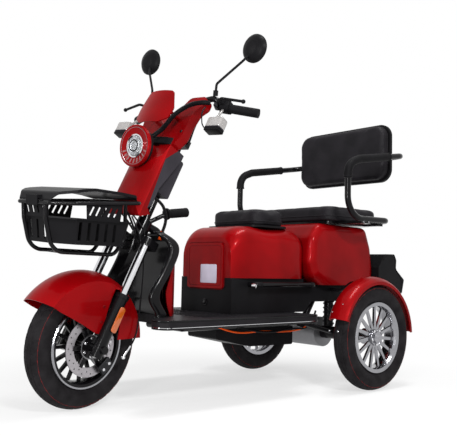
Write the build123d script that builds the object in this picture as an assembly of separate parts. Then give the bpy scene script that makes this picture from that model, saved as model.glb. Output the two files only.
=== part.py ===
from build123d import *
import os
from math import cos, radians, sin, tan

# Electric tricycle, millimetres. +X forward, +Y to the vehicle's left, +Z up, standing on Z = 0.
# Everything is laid out from the rear axle's centre line on the ground, then moved so that the
# origin is under the middle of the whole vehicle.

# Driving sizes of the chassis
wheelbase = 1112.0
track = 670.0
front_reach = 1351.2
rear_reach = 400.0
seat_gap = 0.3
run_gap = 0.05

# Tyres, rims and brakes
tyre_od = 416.0
tyre_width = 81.0
rim_flange_r = 141.0
rim_width = 66.0
rim_wall = 7.0
rim_well = 14.0
hub_r = 32.0
hub_half = 39.0
rear_hub_out = 24.0
axle_r = 8.0
front_spokes = 16
rear_spokes = 15
spoke_thick = 9.0
spoke_root = 15.0
spoke_tip = 10.0
spoke_shift = 12.0
disc_r = 98.0
disc_thick = 4.0
carrier_thick = 8.0
hub_cap_r = 24.0
hub_cap_tall = 20.0
stub_r = 12.0

# Steering head and fork
rake = 26.0
fork_offset = 30.0
steer_rest = 10.6
fork_half = 86.0
stanchion_r = 15.5
leg_r = 21.0
leg_bottom = -30.0
leg_top = 190.0
crown_low = 374.0
crown_thick = 26.0
crown_rear = -18.0
crown_front = 52.0
stem_r = 14.0
head_tube_r = 27.0
head_tube_length = 82.0
head_tube_low = 405.0
stem_top = 806.0

# Handlebar and what it carries
bar_r = 11.0
grip_r = 16.5
switch_r = 21.0
lever_r = 5.0
mirror_r = 52.0
mirror_stem_r = 4.5

# Column cover, headlamp and flyscreen
cover_half = 80.0
cover_wall = 3.5
cover_top = 762.0
horn_rear = 60.0
horn_front = 104.0
lamp_x = 957.0
lamp_z = 885.0
lamp_r = 74.0
lamp_back = 54.0
screen_r = 204.0
screen_wall = 4.0

# Basket
basket_front = 1326.0
basket_rear = 1036.0
basket_half = 120.0
basket_top = 619.0
basket_bottom = 538.0
basket_wall = 3.0
basket_tube_r = 6.5
basket_margin = 14.0
guard_half = 55.0
guard_low = 512.0
ring_front_z = 657.0
ring_rise = 4.8
lid_thick = 9.0
slot_wide = 12.0
slot_lean = 6.0

# Footboard and leg shield
deck_top = 300.0
deck_half = 288.0
deck_front = 990.0
deck_rear = 256.0
shield_half = 168.0
shield_wall = 5.0
shield_top = 586.0
shield_band = 42.0
panel_half = 128.0
panel_rear = 785.0

# Frame tubes
rail_r = 14.0
rail_half = 100.0
deck_tube_x = 772.0
rail_z = 256.0
rail_high = 388.0
tie_r = 11.0
down_r = 15.0
stay_r = 6.0

# Shells
shell_wall = 4.0
front_shell_front = 588.0
front_shell_rear = 216.0
front_shell_half = 165.0
front_shell_low = 432.0
front_shell_top = 627.0
rear_shell_front = 204.0
rear_shell_rear = -209.0
rear_shell_half = 192.0
rear_shell_low = 408.0
rear_shell_top = 660.0
body_half = 148.0
tail_half = 215.0

# Seats
driver_front = 464.0
driver_rear = 286.0
driver_half = 142.0
driver_thick = 66.0
pan_thick = 8.0
bench_front = 128.0
bench_rear = -212.0
bench_half = 226.0
bench_low = 672.0
bench_thick = 64.0

# Backrest and armrests
arm_half = 314.0
arm_tube_r = 12.5
arm_low = 676.0
arm_post_x = 132.0
arm_grip_z = 918.0
arm_back_x = -262.0
arm_back_z = 972.0
sleeve_r = 17.0
back_wide = 508.0
back_tall = 258.0
back_z = 991.0
back_thick = 45.0
back_shell_thick = 13.7

# Fenders, rear axle and motor
fender_wall = 3.0
front_fender_gap = 28.0
front_fender_half = 78.0
rear_fender_gap = 24.0
rear_fender_half = 44.0
axle_tube_r = 26.0
motor_r = 62.0
motor_half = 85.0
shock_y = 112.0
shock_r = 20.0
side_bar_r = 9.0
side_bar_y = 185.0

wheel_r = tyre_od / 2
rim_half = rim_width / 2
bead_r = rim_flange_r - 10
axle_out = track / 2 + rear_hub_out - 2
middle = (front_reach - rear_reach) / 2
to_origin = Pos(-middle, 0, 0)
tilt = radians(rake)

# The steering axis leans back by the rake and passes behind the front axle.
head_x = wheelbase - fork_offset * cos(tilt)
head_z = wheel_r - fork_offset * sin(tilt)
head = Plane(
    origin=(head_x, 0, head_z),
    x_dir=(cos(tilt), 0, sin(tilt)),
    z_dir=(-sin(tilt), 0, cos(tilt)),
)
steer_axis = Axis((head_x, 0, head_z), (-sin(tilt), 0, cos(tilt)))
upward = (Align.CENTER, Align.CENTER, Align.MIN)

parts = {}


def keep(name, shape):
    """A chassis piece, moved to the vehicle's frame."""
    parts[name] = to_origin * shape


def keep_steered(name, shape):
    """A piece of the front assembly, drawn straight ahead and turned to its parked angle."""
    parts[name] = to_origin * shape.rotate(steer_axis, steer_rest)


def in_head(shape):
    """From the steering head's own frame: x forward of the axis, z along it."""
    return head.location * shape


def outline(points):
    """A closed outline of (u, v) points, or (u, v, radius) where a corner is rounded."""
    radii = [point[2] if len(point) > 2 else 0 for point in points]
    corners = [point[:2] for point in points]
    if any(radii):
        return make_face(FilletPolyline(*corners, radius=radii, close=True))
    return make_face(Polyline(*corners, close=True))


def plate(points, low, high):
    """An outline in side view, extruded across the vehicle from y = low to y = high."""
    return extrude(Plane.XZ.offset(-high) * outline(points), amount=high - low)


def flat(points, low, high):
    """An outline in plan, extruded from z = low to z = high."""
    return Pos(0, 0, low) * extrude(outline(points), amount=high - low)


def rod(start, end, radius):
    """A round bar between two points."""
    line = Line(start, end)
    return sweep(Plane(origin=line @ 0, z_dir=line % 0) * Circle(radius), path=line)


def bent(points, radii, radius, closed=False):
    """A bent round tube: straight runs joined by arcs."""
    path = FilletPolyline(*points, radius=radii, close=closed)
    return sweep(Plane(origin=path @ 0, z_dir=path % 0) * Circle(radius), path=path)


def block(low, high):
    """A box given by its lowest and highest corners."""
    size = [b - a for a, b in zip(low, high)]
    mid = [(a + b) / 2 for a, b in zip(low, high)]
    return Pos(*mid) * Box(*size)


def across(radius, length):
    """A cylinder along Y."""
    return Cylinder(radius, length, rotation=(90, 0, 0))


def mirrored(shape):
    """The same piece on the other side of the vehicle."""
    return shape.mirror(Plane.XZ)


def both(shape):
    """A left piece and its right twin in one node."""
    return shape + mirrored(shape)


# Wheels, drawn about the Y axis


def turned(points):
    """A profile of (y, r) points turned about the wheel's own axis."""
    return revolve(Plane.YZ * outline(points), Axis.Y)


def tyre():
    """A ring with a rounded crown and side walls that bulge over the rim's flanges."""
    seat = rim_half - rim_wall - seat_gap
    tread = tyre_width * 0.36
    shoulder = wheel_r - 9
    lip = (seat + 2, rim_flange_r + 1.5)
    widest = (tyre_width / 2, wheel_r - 36)
    crown = ThreePointArc((-tread, shoulder), (0, wheel_r), (tread, shoulder))
    left = ThreePointArc((tread, shoulder), widest, lip)
    right = ThreePointArc((-lip[0], lip[1]), (-widest[0], widest[1]), (-tread, shoulder))
    bead = Polyline(
        lip,
        (seat, bead_r + 6),
        (seat, bead_r + seat_gap),
        (-seat, bead_r + seat_gap),
        (-seat, bead_r + 6),
        (-lip[0], lip[1]),
    )
    return revolve(Plane.YZ * make_face(crown + left + bead + right), Axis.Y)


def rim_ring():
    """The rim's section: two rolled flanges, bead seats and the drop between them."""
    half = rim_half
    side = [
        (half - rim_wall, bead_r),
        (half - rim_wall + 0.5, bead_r + 6),
        (half - 4, rim_flange_r),
        (half, rim_flange_r - 3),
        (half - 3, bead_r - rim_wall),
        (14, bead_r - rim_well),
    ]
    return turned(side + [(-y, r) for y, r in side[::-1]])


def rim(count, shift, hub_low, hub_high, bore_r):
    """Cast wheel: rim, tapered straight spokes and a bored hub in one piece."""
    reach = bead_r - rim_well + 3
    root = hub_r - 4
    arm = [(-spoke_root / 2, root), (spoke_root / 2, root)]
    arm += [(spoke_tip / 2, reach), (-spoke_tip / 2, reach)]
    spoke = plate(arm, shift - spoke_thick / 2, shift + spoke_thick / 2)
    hub = turned([(hub_low, 0), (hub_low, hub_r, 3), (hub_high, hub_r, 3), (hub_high, 0)])
    wheel = rim_ring() + hub + [Rot(0, 360 * k / count, 0) * spoke for k in range(count)]
    return wheel - across(bore_r, 4 * hub_half)


def brake_disc():
    """Drilled disc on a six-armed carrier."""
    ring = Cylinder(disc_r, disc_thick) - Cylinder(disc_r * 0.68, disc_thick + 2)
    hole = Cylinder(2.6, disc_thick + 2)
    ring -= [Rot(0, 0, 12 * k) * Pos(disc_r - 10 - 9 * (k % 2), 0, 0) * hole for k in range(30)]
    carrier = Cylinder(36, carrier_thick) - Cylinder(axle_r + 6, carrier_thick + 2)
    carrier += [Rot(0, 0, 60 * k) * Pos(52, 0, 0) * Box(38, 14, carrier_thick - 1) for k in range(6)]
    return Rot(90, 0, 0) * (ring + carrier)


def front_wheel():
    centre = Pos(wheelbase, 0, wheel_r)
    keep_steered("front_tyre", centre * tyre())
    keep_steered("front_rim", centre * rim(front_spokes, 0, -hub_half, hub_half, axle_r + run_gap))
    keep_steered("front_disc", centre * Pos(0, hub_half + seat_gap + carrier_thick / 2, 0) * brake_disc())


def rear_wheels():
    """Mirror-image wheels on stub axles, with a domed cap over each hub."""
    for name, side in (("rear_left", 1), ("rear_right", -1)):
        centre = Pos(0, side * track / 2, wheel_r)
        ends = sorted((-side * hub_half, side * rear_hub_out))
        wheel = rim(rear_spokes, side * spoke_shift, *ends, stub_r + run_gap)
        dome = [(-1, hub_cap_r + 4), (0.5, hub_cap_r + 4), (0.5, hub_cap_r), (hub_cap_tall / 2, hub_cap_r)]
        dome += [(hub_cap_tall, hub_cap_r - 12), (hub_cap_tall, 0)]
        dome += [(0.5, 0), (0.5, stub_r + 1), (-1, stub_r + 1)]
        wheel += turned([(side * (rear_hub_out + y), r) for y, r in dome])
        keep(name + "_tyre", centre * tyre())
        keep(name + "_rim", centre * wheel)


# Front assembly


def fork():
    """Crown with its stem, chrome tubes, and lower legs joined by the axle."""
    half = fork_half + 23
    crown = block((crown_rear, -half, crown_low), (crown_front, half, crown_low + crown_thick))
    crown = fillet(crown.edges().filter_by(Axis.Z), 20)
    crown_top = crown_low + crown_thick
    stem = Pos(0, 0, crown_top) * Cylinder(stem_r, stem_top - crown_top, align=upward)
    sides = [Pos(fork_offset, y, 0) for y in (-fork_half, fork_half)]
    holes = [side * Pos(0, 0, crown_low) * Cylinder(stanchion_r + 0.02, 80) for side in sides]
    keep_steered("fork_crown", in_head(crown + stem - holes))
    tube = Pos(0, 0, leg_top) * Cylinder(stanchion_r, crown_top + 4 - leg_top, align=upward)
    keep_steered("fork_tubes", in_head(sides[0] * tube + sides[1] * tube))
    leg = Pos(0, 0, leg_bottom) * Cylinder(leg_r, leg_top - leg_bottom, align=upward)
    leg += Pos(0, 0, leg_top - 14) * Cylinder(leg_r + 3, 14, align=upward)
    axle = Pos(fork_offset, 0, 0) * across(axle_r, 2 * (fork_half + leg_r) + 20)
    nut = across(13, 11)
    ends = [Pos(fork_offset, y, 0) * nut for y in (-fork_half - leg_r - 5, fork_half + leg_r + 5)]
    spacer_left = hub_half + carrier_thick + 2 * seat_gap
    collars = [
        Pos(fork_offset, 0, 0) * block((-1, -fork_half, -1), (1, -hub_half - seat_gap, 1)),
        Pos(fork_offset, 0, 0) * block((-1, spacer_left, -1), (1, fork_half, 1)),
    ]
    rings = [Pos(*collar.center()) * across(13, collar.bounding_box().size.Y) for collar in collars]
    keep_steered("fork_legs", in_head(sides[0] * leg + sides[1] * leg + axle + ends + rings))


def fork_slots():
    """Room for both fork legs, in the straight-ahead vehicle frame."""
    slot = Cylinder(leg_r + 3.4, 460)
    return [in_head(Pos(fork_offset, y, 80) * slot) for y in (-fork_half, fork_half)]


def front_fender():
    """A domed arch over the wheel, its skirts cut to their side outline."""
    inner = wheel_r + front_fender_gap
    half = front_fender_half
    w = fender_wall
    edge = inner - 20
    skirt = inner - 84
    top = ThreePointArc((-half, edge), (0, inner + 9), (half, edge))
    under = ThreePointArc((half - w, edge - 1), (0, inner + 9 - w), (w - half, edge - 1))
    right = Polyline((half, edge), (half, skirt), (half - w, skirt), (half - w, edge - 1))
    left = Polyline((w - half, edge - 1), (w - half, skirt), (-half, skirt), (-half, edge))
    arch = revolve(Plane.YZ * make_face(top + right + under + left), Axis.Y)
    reach = inner + 40
    side = [
        (-reach, -26),
        (-reach, reach),
        (reach, reach),
        (reach, 128, 8),
        (188, 125, 30),
        (90, 93, 12),
        (14, 42, 10),
        (-40, 150, 20),
        (-112, 110, 30),
        (-150, -26),
    ]
    shell = arch & plate(side, -half - 1, half + 1)
    keep_steered("front_fender", Pos(wheelbase, 0, wheel_r) * shell - fork_slots())


# Column, lamp and cockpit


def horns():
    """The two arms that sweep up from the column to the bar, with the screen's two stubs."""
    edge = [
        (-4, cover_top + 8),
        (56, cover_top - 18, 14),
        (cover_half + 2, cover_top - 34, 20),
        (112, cover_top + 12, 40),
        (113, cover_top + 66, 50),
        (124, cover_top + 118, 24),
        (152, cover_top + 140, 18),
        (152, cover_top + 178, 18),
        (74, cover_top + 177, 26),
        (50, cover_top + 138, 60),
        (22, cover_top + 76, 24),
        (-4, cover_top + 60),
    ]
    horn = extrude(Plane.YZ.offset(horn_rear) * outline(edge), amount=horn_front - horn_rear)
    for face, radius in ((horn.faces().sort_by(Axis.X)[-1], 16), (horn.faces().sort_by(Axis.X)[0], 10)):
        horn = fillet(face.edges().filter_by(lambda e: e.center().Y > 1), radius)
    stub_y = 58.0
    reach = -20 + ((screen_r - screen_wall) ** 2 - (stub_y + 6) ** 2) ** 0.5 - seat_gap
    horn += rod((horn_front - 8, stub_y, 845), (reach, stub_y, 845), 6)
    return both(horn) - bar_path(bar_r + 0.6)


def crowned(rear, shoulder, nose, half, low, high):
    """A prism along the head whose front is an arc from side to side."""
    arc = ThreePointArc((shoulder, -half), (nose, 0), (shoulder, half))
    sides = Polyline((shoulder, half), (rear, half), (rear, -half), (shoulder, -half))
    return Pos(0, 0, low) * extrude(make_face(arc + sides), amount=high - low)


def column():
    """Red front cover, hollow behind, and the black cover that closes its back."""
    seam = [(84, 492), (96, 624), (100, 679), (62, cover_top - 25), (60, cover_top)]
    front_line = [(100, cover_top, 12), (112, 690, 40), (140, 632, 50), (134, 540, 60), (120, 478, 30)]
    front_line += [(103, 446, 8), (62, 478)]
    w = cover_wall
    shoulder = 104.0
    nose = 138.0
    outer = plate(seam + front_line, -cover_half, cover_half)
    outer &= crowned(0, shoulder, nose, cover_half, 400, cover_top + 10)
    inner = [(20, 492), (20, cover_top + 8), (100 - w, cover_top + 8)]
    inner += [(112 - w, 690, 40), (140 - w, 632, 50)]
    inner += [(134 - w, 540, 60), (120 - w, 480, 26), (100, 446 + 2 * w, 6), (40, 492)]
    room = plate(inner, w - cover_half, cover_half - w)
    room &= crowned(-40, shoulder - w, nose - w, cover_half - w, 400, cover_top + 20)
    cover = outer - room
    boss_start = head_x + 100 * cos(tilt) - 700 * sin(tilt)
    boss_end = lamp_x - lamp_back - seat_gap
    cover += head.location.inverse() * rod((boss_start, 0, lamp_z), (boss_end, 0, lamp_z), 15)
    keep_steered("column_cover", in_head(cover + horns()) - lamp_bucket(3 * seat_gap) - lamp_room())
    back = [(70, 506), (71, 576), (28, 719), (28, cover_top - 24)]
    strip_front = [(60 - seat_gap, cover_top - 24)] + [(x - seat_gap, z) for x, z in seam[3::-1]]
    strip = plate(back + strip_front, -cover_half, cover_half)
    box_side = [(-20, 582, 8), (50, 582), (71, 576), (96, 624), (62, 734), (59, 738), (-20, 738, 8)]
    stem_room = Pos(0, 0, 600) * Cylinder(stem_r + seat_gap, 460)
    keep_steered("column_back", in_head(strip + plate(box_side, -42, 42) - stem_room))


def on_lamp(points):
    """An (r, x) profile turned about the lamp's own axis, which lies level."""
    return Pos(lamp_x, 0, lamp_z) * Rot(0, 90, 0) * revolve(Plane.XZ * outline(points), Axis.Z)


def lamp_bucket(gap):
    """The lamp's body, or the room that it needs behind its bezel."""
    back = -lamp_back
    return on_lamp([(0, back), (34 + gap, back, 6), (68 + gap, -29 - gap, 14), (70 + gap, -12), (0, -12)])


def lamp_room():
    """Free space in front of the bucket for the bezel and its rim."""
    return on_lamp([(0, -12 - seat_gap), (lamp_r + 4, -12 - seat_gap), (lamp_r + 4, 40), (0, 40)])


def headlamp():
    """Bucket, dished bezel and projector lens."""
    keep_steered("headlamp_bucket", lamp_bucket(0))
    dish = [(lamp_r, -11.7), (lamp_r, -2, 1.5), (lamp_r - 5, 1, 1.5), (lamp_r - 9, -2), (40, -9), (38, -11.7)]
    glass = [(0, -11.7), (37.7, -11.7), (36, -5), (26, 1), (12, 3), (0, 3.5)]
    for name, points in (("headlamp_bezel", dish), ("headlamp_lens", glass)):
        keep_steered(name, on_lamp(points))


def flyscreen():
    """A small curved shield in front of the bars."""
    shape = [(-46, 782, 14), (46, 782, 14), (80, 806, 20), (84, 848, 24), (58, 918, 14), (-58, 918, 14)]
    shape += [(-84, 848, 24), (-80, 806, 20)]
    prism = extrude(Plane.YZ * outline(shape), amount=300)
    shell = Cylinder(screen_r, 300) - Cylinder(screen_r - screen_wall, 300)
    keep_steered("flyscreen", in_head(prism & Pos(-20, 0, 850) * shell))


bar_points = [(0, 34, 820), (30, 62, 850), (80, 112, 940), (76, 156, 952), (34, 200, 937), (-8, 306, 940)]
grip_start = Vector(*bar_points[4])
grip_end = Vector(*bar_points[5])
grip_run = (grip_end - grip_start).normalized()


def bar_path(radius):
    """The bent bar: up through both horns, then back to the grips."""
    right = [(x, -y, z) for x, y, z in bar_points[::-1]]
    return bent(right + bar_points, [24, 24, 24, 24, 18, 18, 24, 24, 24, 24], radius)


def grip(radius):
    """The left grip's outer form, closed over the bar's end."""
    return rod(grip_start + grip_run * 7, grip_end + grip_run * 2, radius)


def handlebar():
    bar = bar_path(bar_r) + Pos(0, 0, stem_top + 10) * Box(46, 62, 30)
    bar -= Pos(0, 0, stem_top - 40) * Cylinder(stem_r + 0.02, 40.02, align=upward)
    keep_steered("handlebar", in_head(bar))
    bore = rod(grip_start, grip_end + grip_run * 0.5, bar_r + seat_gap)
    keep_steered("grips", in_head(both(grip(grip_r) - bore)))


def controls():
    """Switch housings with their levers and the display, then indicators and mirrors."""
    housing = rod(grip_start - grip_run * 26, grip_start + grip_run * (7 - seat_gap), switch_r)
    housing += rod((38, 178, 944), (64, 186, 944), 9)
    housing += bent([(58, 182, 944), (92, 204, 938), (74, 300, 930)], [14], lever_r)
    case = Box(24, 44, 44)
    display = Pos(54, -182, 970) * Rot(0, 12, 0) * fillet(case.edges().filter_by(Axis.X), 6)
    room = bar_path(bar_r + seat_gap) + both(grip(grip_r + seat_gap))
    keep_steered("controls", in_head(both(housing) + display - room))
    lamp = fillet((Pos(85, 230, 830) * Box(38, 66, 44)).edges(), 8)
    foot = grip_start - grip_run * 14
    lamp_top = Vector(82, 212, 848)
    drop = (lamp_top - foot).normalized()
    keep_steered("indicators", in_head(both(lamp + rod(foot + drop * (switch_r + 1), lamp_top, 5))))
    path = [(736, 162, 1104), (736, 163, 1136), (690, 236, 1222), (672, 254, 1252)]
    stem = bent(path, [16, 30], mirror_stem_r)
    base = Pos(736, 162, 1093.4) * Cylinder(9, 18.6, align=upward)
    place = Pos(664, 264, 1272) * Rot(0, 90, 0)
    profile = [(0, 20), (24, 18), (42, 10), (mirror_r, 0), (mirror_r, -5), (mirror_r - 3, -7), (0, -7)]
    dome = revolve(Plane.XZ * outline(profile), Axis.Z)
    keep_steered("mirrors", both(stem + base + place * dome))
    glass = place * Pos(0, 0, -8.5 - seat_gap) * Cylinder(mirror_r - 4, 3)
    keep_steered("mirror_glass", both(glass))


# Basket


def basket_plan(inset):
    """Plan of the basket with its front corners cut across."""
    f, r, h = basket_front - inset, basket_rear + inset, basket_half - inset
    cut = 58.0
    left = [(r, h - 24), (r + 24, h), (f - cut, h), (f, h - cut)]
    return left + [(x, -y) for x, y in left[::-1]]


def tapered(low, low_inset, high, high_inset):
    """A solid between two plans of the basket."""
    bottom = Pos(0, 0, low) * outline(basket_plan(low_inset))
    top = Pos(0, 0, high) * outline(basket_plan(high_inset))
    return loft([bottom, top], ruled=True)


def raised(shape):
    """The basket's ring and lid slope up to the rear."""
    return shape.rotate(Axis((basket_front + basket_margin, 0, ring_front_z), (0, 1, 0)), ring_rise)


def guard_hoop(y, radius):
    """One tube under the basket, from the ring's front to its rear."""
    front = basket_front + basket_margin
    rear = basket_rear - basket_margin
    weld = 2.0
    rear_z = ring_front_z + (front - rear) * tan(radians(ring_rise))
    points = [
        (front, y, ring_front_z - weld),
        (basket_front + 8, y, basket_top - 10),
        (basket_front - 24, y, guard_low),
        (basket_rear + 20, y, guard_low - 4),
        (rear - 8, y, 560),
        (rear, y, rear_z - weld),
    ]
    return bent(points, [40, 60, 36, 40], radius)


def slanted_slots(count, start, pitch, width, low, high, lean):
    """Upright or leaning slots along X, cut right across whatever they meet."""
    slot = Rot(0, lean, 0) * Box(width, 4 * basket_half, high - low)
    return [Pos(start + pitch * k, 0, (low + high) / 2) * slot for k in range(count)]


def side_panels():
    """Slotted plates between the tub's rim and the ring, at both sides and in front."""
    outer = basket_half + basket_margin - basket_tube_r - seat_gap
    thick = 3.0
    low = basket_top - 2
    side = [(1104, low), (1236, low), (1243, ring_front_z + 14, 4), (1096, ring_front_z + 26, 4)]
    side_plate = plate(side, outer - thick, outer)
    side_plate -= slanted_slots(5, 1124, 24, 8, basket_top + 9, ring_front_z + 2, -26)
    front = [(-64, low), (64, low), (58, ring_front_z - 1, 4), (-58, ring_front_z - 1, 4)]
    shift = basket_front - basket_half
    front_plate = extrude(Plane.YZ.offset(outer - thick + shift) * outline(front), amount=thick)
    slot = Rot(26, 0, 0) * Box(20, 7, 24)
    front_plate -= [Pos(outer + shift, y, basket_top + 18) * slot for y in (-39, -13, 13, 39)]
    return both(side_plate) + front_plate


def basket():
    """Moulded tub with a rolled rim and leaning slots."""
    flare = 14.0
    w = basket_wall
    tub = tapered(basket_bottom, flare, basket_top, 0)
    tub -= tapered(basket_bottom + w, flare + w, basket_top + 0.1, w)
    band = flat(basket_plan(-7), basket_top - 5, basket_top)
    band -= flat(basket_plan(w), basket_bottom, basket_top + 20)
    tub += band
    low = basket_bottom + 12
    high = basket_top - 12
    tub -= slanted_slots(5, basket_rear + 76, 34, slot_wide, low, high, slot_lean)
    front_slot = Box(60, slot_wide - 2, high - low)
    tub -= [Pos(basket_front, 34 * k - 34, (low + high) / 2) * front_slot for k in range(3)]
    tub += side_panels()
    tub -= [guard_hoop(y, basket_tube_r + seat_gap) for y in (-guard_half, guard_half)]
    keep_steered("basket", tub)


def basket_frame():
    """Ring, two guard tubes below and the bracket that bolts to the fork crown."""
    f, b, h = basket_front + basket_margin, basket_rear - basket_margin, basket_half + basket_margin
    corners = [(b, -h), (f - 58, -h), (f, 58 - h), (f, h - 58), (f - 58, h), (b, h)]
    ring = bent([(x, y, ring_front_z) for x, y in corners], 22, basket_tube_r, closed=True)
    carrier = raised(ring) + [guard_hoop(y, basket_tube_r) for y in (-guard_half, guard_half)]
    cross = rod((basket_rear - 23, -guard_half, 601), (basket_rear - 23, guard_half, 601), 8)
    arm = block((crown_front + seat_gap, -34, crown_low + 3), (112, 34, crown_low + crown_thick - 3))
    shelf = block((1119, -guard_half, guard_low - 4.5), (1269, guard_half, guard_low - 1.5))
    shelf -= [Pos(x, 0, guard_low) * Cylinder(14, 20) for x in (1160, 1228)]
    keep_steered("basket_frame", carrier + cross + in_head(arm) + shelf)


def basket_lid():
    """A saddle-shaped lid: it rests on the ring at both ends and arches between them."""
    low = ring_front_z + basket_tube_r + seat_gap
    front = basket_front + basket_margin
    rear = basket_rear - basket_margin
    crest = [
        (front - 18, 18, 14),
        (front - 78, 27, 60),
        (front - 126, 30, 60),
        (front - 230, 19, 80),
        (front - 290, 10, 30),
    ]
    t = lid_thick
    under = [(rear, low)] + [(x, low + rise, r) for x, rise, r in crest[::-1]] + [(front, low)]
    over = [(front, low + 5)] + [(x, low + rise + t, r + t) for x, rise, r in crest] + [(rear, low + t)]
    wave = plate(under + over, -2 * basket_half, 2 * basket_half)
    lid = wave & flat(basket_plan(-basket_margin), low - 1, low + 80)
    latch = block((front - 16, -28, low + 6), (front + 10, 28, low + 16))
    latch += block((front + basket_tube_r + seat_gap, -28, ring_front_z - 8), (front + 10, 28, low + 16))
    keep_steered("basket_lid", raised(lid + latch))


# Chassis


def down_tube(radius):
    """From the steering head down through the deck to the front cross tube."""
    points = [(870, 0, 612), (812, 0, 588), (806, 0, 320), (deck_tube_x, 0, rail_z)]
    return bent(points, [30, 30], radius)


def frame():
    """Welded tubes, the parking brake's lever and the stays of the rear fenders."""
    tube = Pos(0, 0, head_tube_low) * Cylinder(head_tube_r, head_tube_length, align=upward)
    bore = in_head(Pos(0, 0, head_tube_low) * Cylinder(stem_r + run_gap, 4 * head_tube_length))
    brake = rod((872, 18, 622), (808, 40, 656), 8) + rod((812, 40, 655), (722, 40, 667), 15)
    front = in_head(tube) + down_tube(down_r) + brake - bore
    pieces = [rod((deck_tube_x, -rail_half, rail_z), (deck_tube_x, rail_half, rail_z), rail_r)]
    stay_end = track / 2 - 2 - rear_fender_half - seat_gap
    for side in (-1, 1):
        y = side * rail_half
        run = [(deck_tube_x, y, rail_z), (150, y, rail_z), (64, y, rail_high), (-186, y, rail_high)]
        pieces.append(bent(run, [70, 70], rail_r))
        for x, z in ((30, 420), (-90, 402)):
            stay = [(x, y, rail_high), (x, side * (stay_end - 84), rail_high)]
            stay += [(x, side * (stay_end - 34), z), (x, side * stay_end, z)]
            pieces.append(bent(stay, [20, 20], stay_r))
    for x, z, half in ((470, rail_z, rail_half), (190, rail_z, 142), (-170, rail_high, rail_half)):
        pieces.append(rod((x, -half, z), (x, half, z), tie_r))
    keep("frame", front + pieces)


def footboard():
    """Flat deck with ears beside the front wheel and ribs underfoot."""
    side = [(deck_rear, deck_half, 30), (deck_front - 24, deck_half, 20), (deck_front, deck_half - 30, 20)]
    side += [(deck_front, 222, 14), (deck_front - 16, 205, 14), (856, 152)]
    underside = rail_z + rail_r + seat_gap
    deck = flat(side + [(x[0], -x[1], *x[2:]) for x in side[::-1]], underside, deck_top)
    deck += [Pos(690, y, deck_top + 1) * Box(170, 6, 2) for y in range(-216, 217, 24)]
    keep("footboard", deck - down_tube(down_r + 1.5))
    tray_top = rail_z - tie_r - seat_gap
    keel = [(600, 205, 10), (430, 170, 20), (191, 166, 8)]
    tray = plate([(600, tray_top)] + keel + [(191, tray_top)], -84, 84)
    keep("battery_tray", tray)


def shield_section(z, wall_x, band_x, half, wall):
    """Plan of the shield at one height: a flat middle and two bands that stand forward of it."""
    side = [
        (wall_x, half - 70, 20),
        (band_x, half - 26, 14),
        (band_x + 3, half, 10),
        (band_x + shield_band, half, 12),
        (band_x + shield_band, half - 18, 6),
        (band_x + 14, half - 34, 12),
        (wall_x + wall, half - 72, 20),
    ]
    outer = side[:5] + side[5:] + [(x, -y, r) for x, y, r in side[::-1]]
    return Pos(0, 0, z) * outline(outer)


def leg_shield():
    """Swept shield behind the fork with rounded side bands, and the red panel behind it."""
    low = deck_top + seat_gap
    heights = [
        (low, 848, 889, shield_half),
        (341, 862, 905, shield_half),
        (381, 868, 911, shield_half),
        (430, 852, 882, shield_half),
        (485, 836, 851, shield_half),
        (530, 826, 836, shield_half - 4),
        (562, 836, 850, shield_half - 18),
        (shield_top, 846, 868, shield_half - 48),
    ]
    shield = loft([shield_section(*row, shield_wall) for row in heights])
    fork_room = in_head(block((-75, -115, -15), (330, 115, 415)))
    head_room = in_head(Pos(0, 0, head_tube_low - 10) * Cylinder(head_tube_r + 3, 200, align=upward))
    keep("leg_shield", shield - fork_room - head_room - down_tube(down_r + 2))
    w = 3.0
    rear = panel_rear
    wall_back = [(848, low), (862, 341, 30), (868, 381, 30), (852, 430, 30), (836, 485, 30), (828, 524)]
    back = [(rear, low), (rear, 440, 40), (806, 540, 10)]
    back += [(x - seat_gap, *r) for x, *r in wall_back[::-1]]
    plan = [(rear, 66, 26), (840, panel_half, 10), (880, panel_half)]
    plan += [(880, -panel_half), (840, -panel_half, 10)]
    plan += [(rear, -66, 26)]
    inner = [(rear + w, 64, 24), (841, panel_half - w, 8), (900, panel_half - w), (900, w - panel_half)]
    inner += [(841, w - panel_half, 8), (rear + w, -64, 24)]
    room = [(900, low - 10), (rear + w, low - 10), (rear + w, 440, 36), (809, 536), (900, 536)]
    room = flat(inner, low - 10, 536) & plate(room, -200, 200)
    keep("leg_panel", (plate(back, -200, 200) & flat(plan, low, 600)) - room - down_tube(down_r + 2))


def arch(x, half, low, top, corner):
    """A cross-section of the front shell at x, with rounded shoulders."""
    left = [(-half, low), (-half, top, corner), (half, top, corner), (half, low)]
    return Plane.YZ.offset(x) * outline(left)


def front_shell_form(inset):
    """Lofted form: widest under the rider, narrower and rounder to the front."""
    top = front_shell_top - inset
    half = front_shell_half - inset
    low = front_shell_low - 2 * inset
    rear = front_shell_rear + inset
    front = front_shell_front - inset
    sections = [
        arch(rear, half - 16, low, top - 56, 50),
        arch(rear + 16, half - 5, low, top - 16, 54),
        arch(rear + 60, half, low, top, 58),
        arch(front - 130, half, low, top, 60),
        arch(front - 44, half - 8, low, top - 6, 64),
        arch(front, half - 24, low, top - 46, 66),
    ]
    return loft(sections) & block((rear - 1, -half - 40, low), (front + 1, half + 40, top))


def front_shell():
    """Red housing over the batteries, open below, under the seat and at the hatch."""
    shell = front_shell_form(0) - front_shell_form(shell_wall)
    mouth = Pos((driver_front + driver_rear) / 2, 0, front_shell_top)
    shell -= mouth * extrude(RectangleRounded(driver_front - driver_rear - 6, 220, 30), amount=40, both=True)
    shell -= block((front_shell_front - 40, -75, 450), (front_shell_front + 40, 75, 550))
    keep("front_shell", shell)


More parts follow.
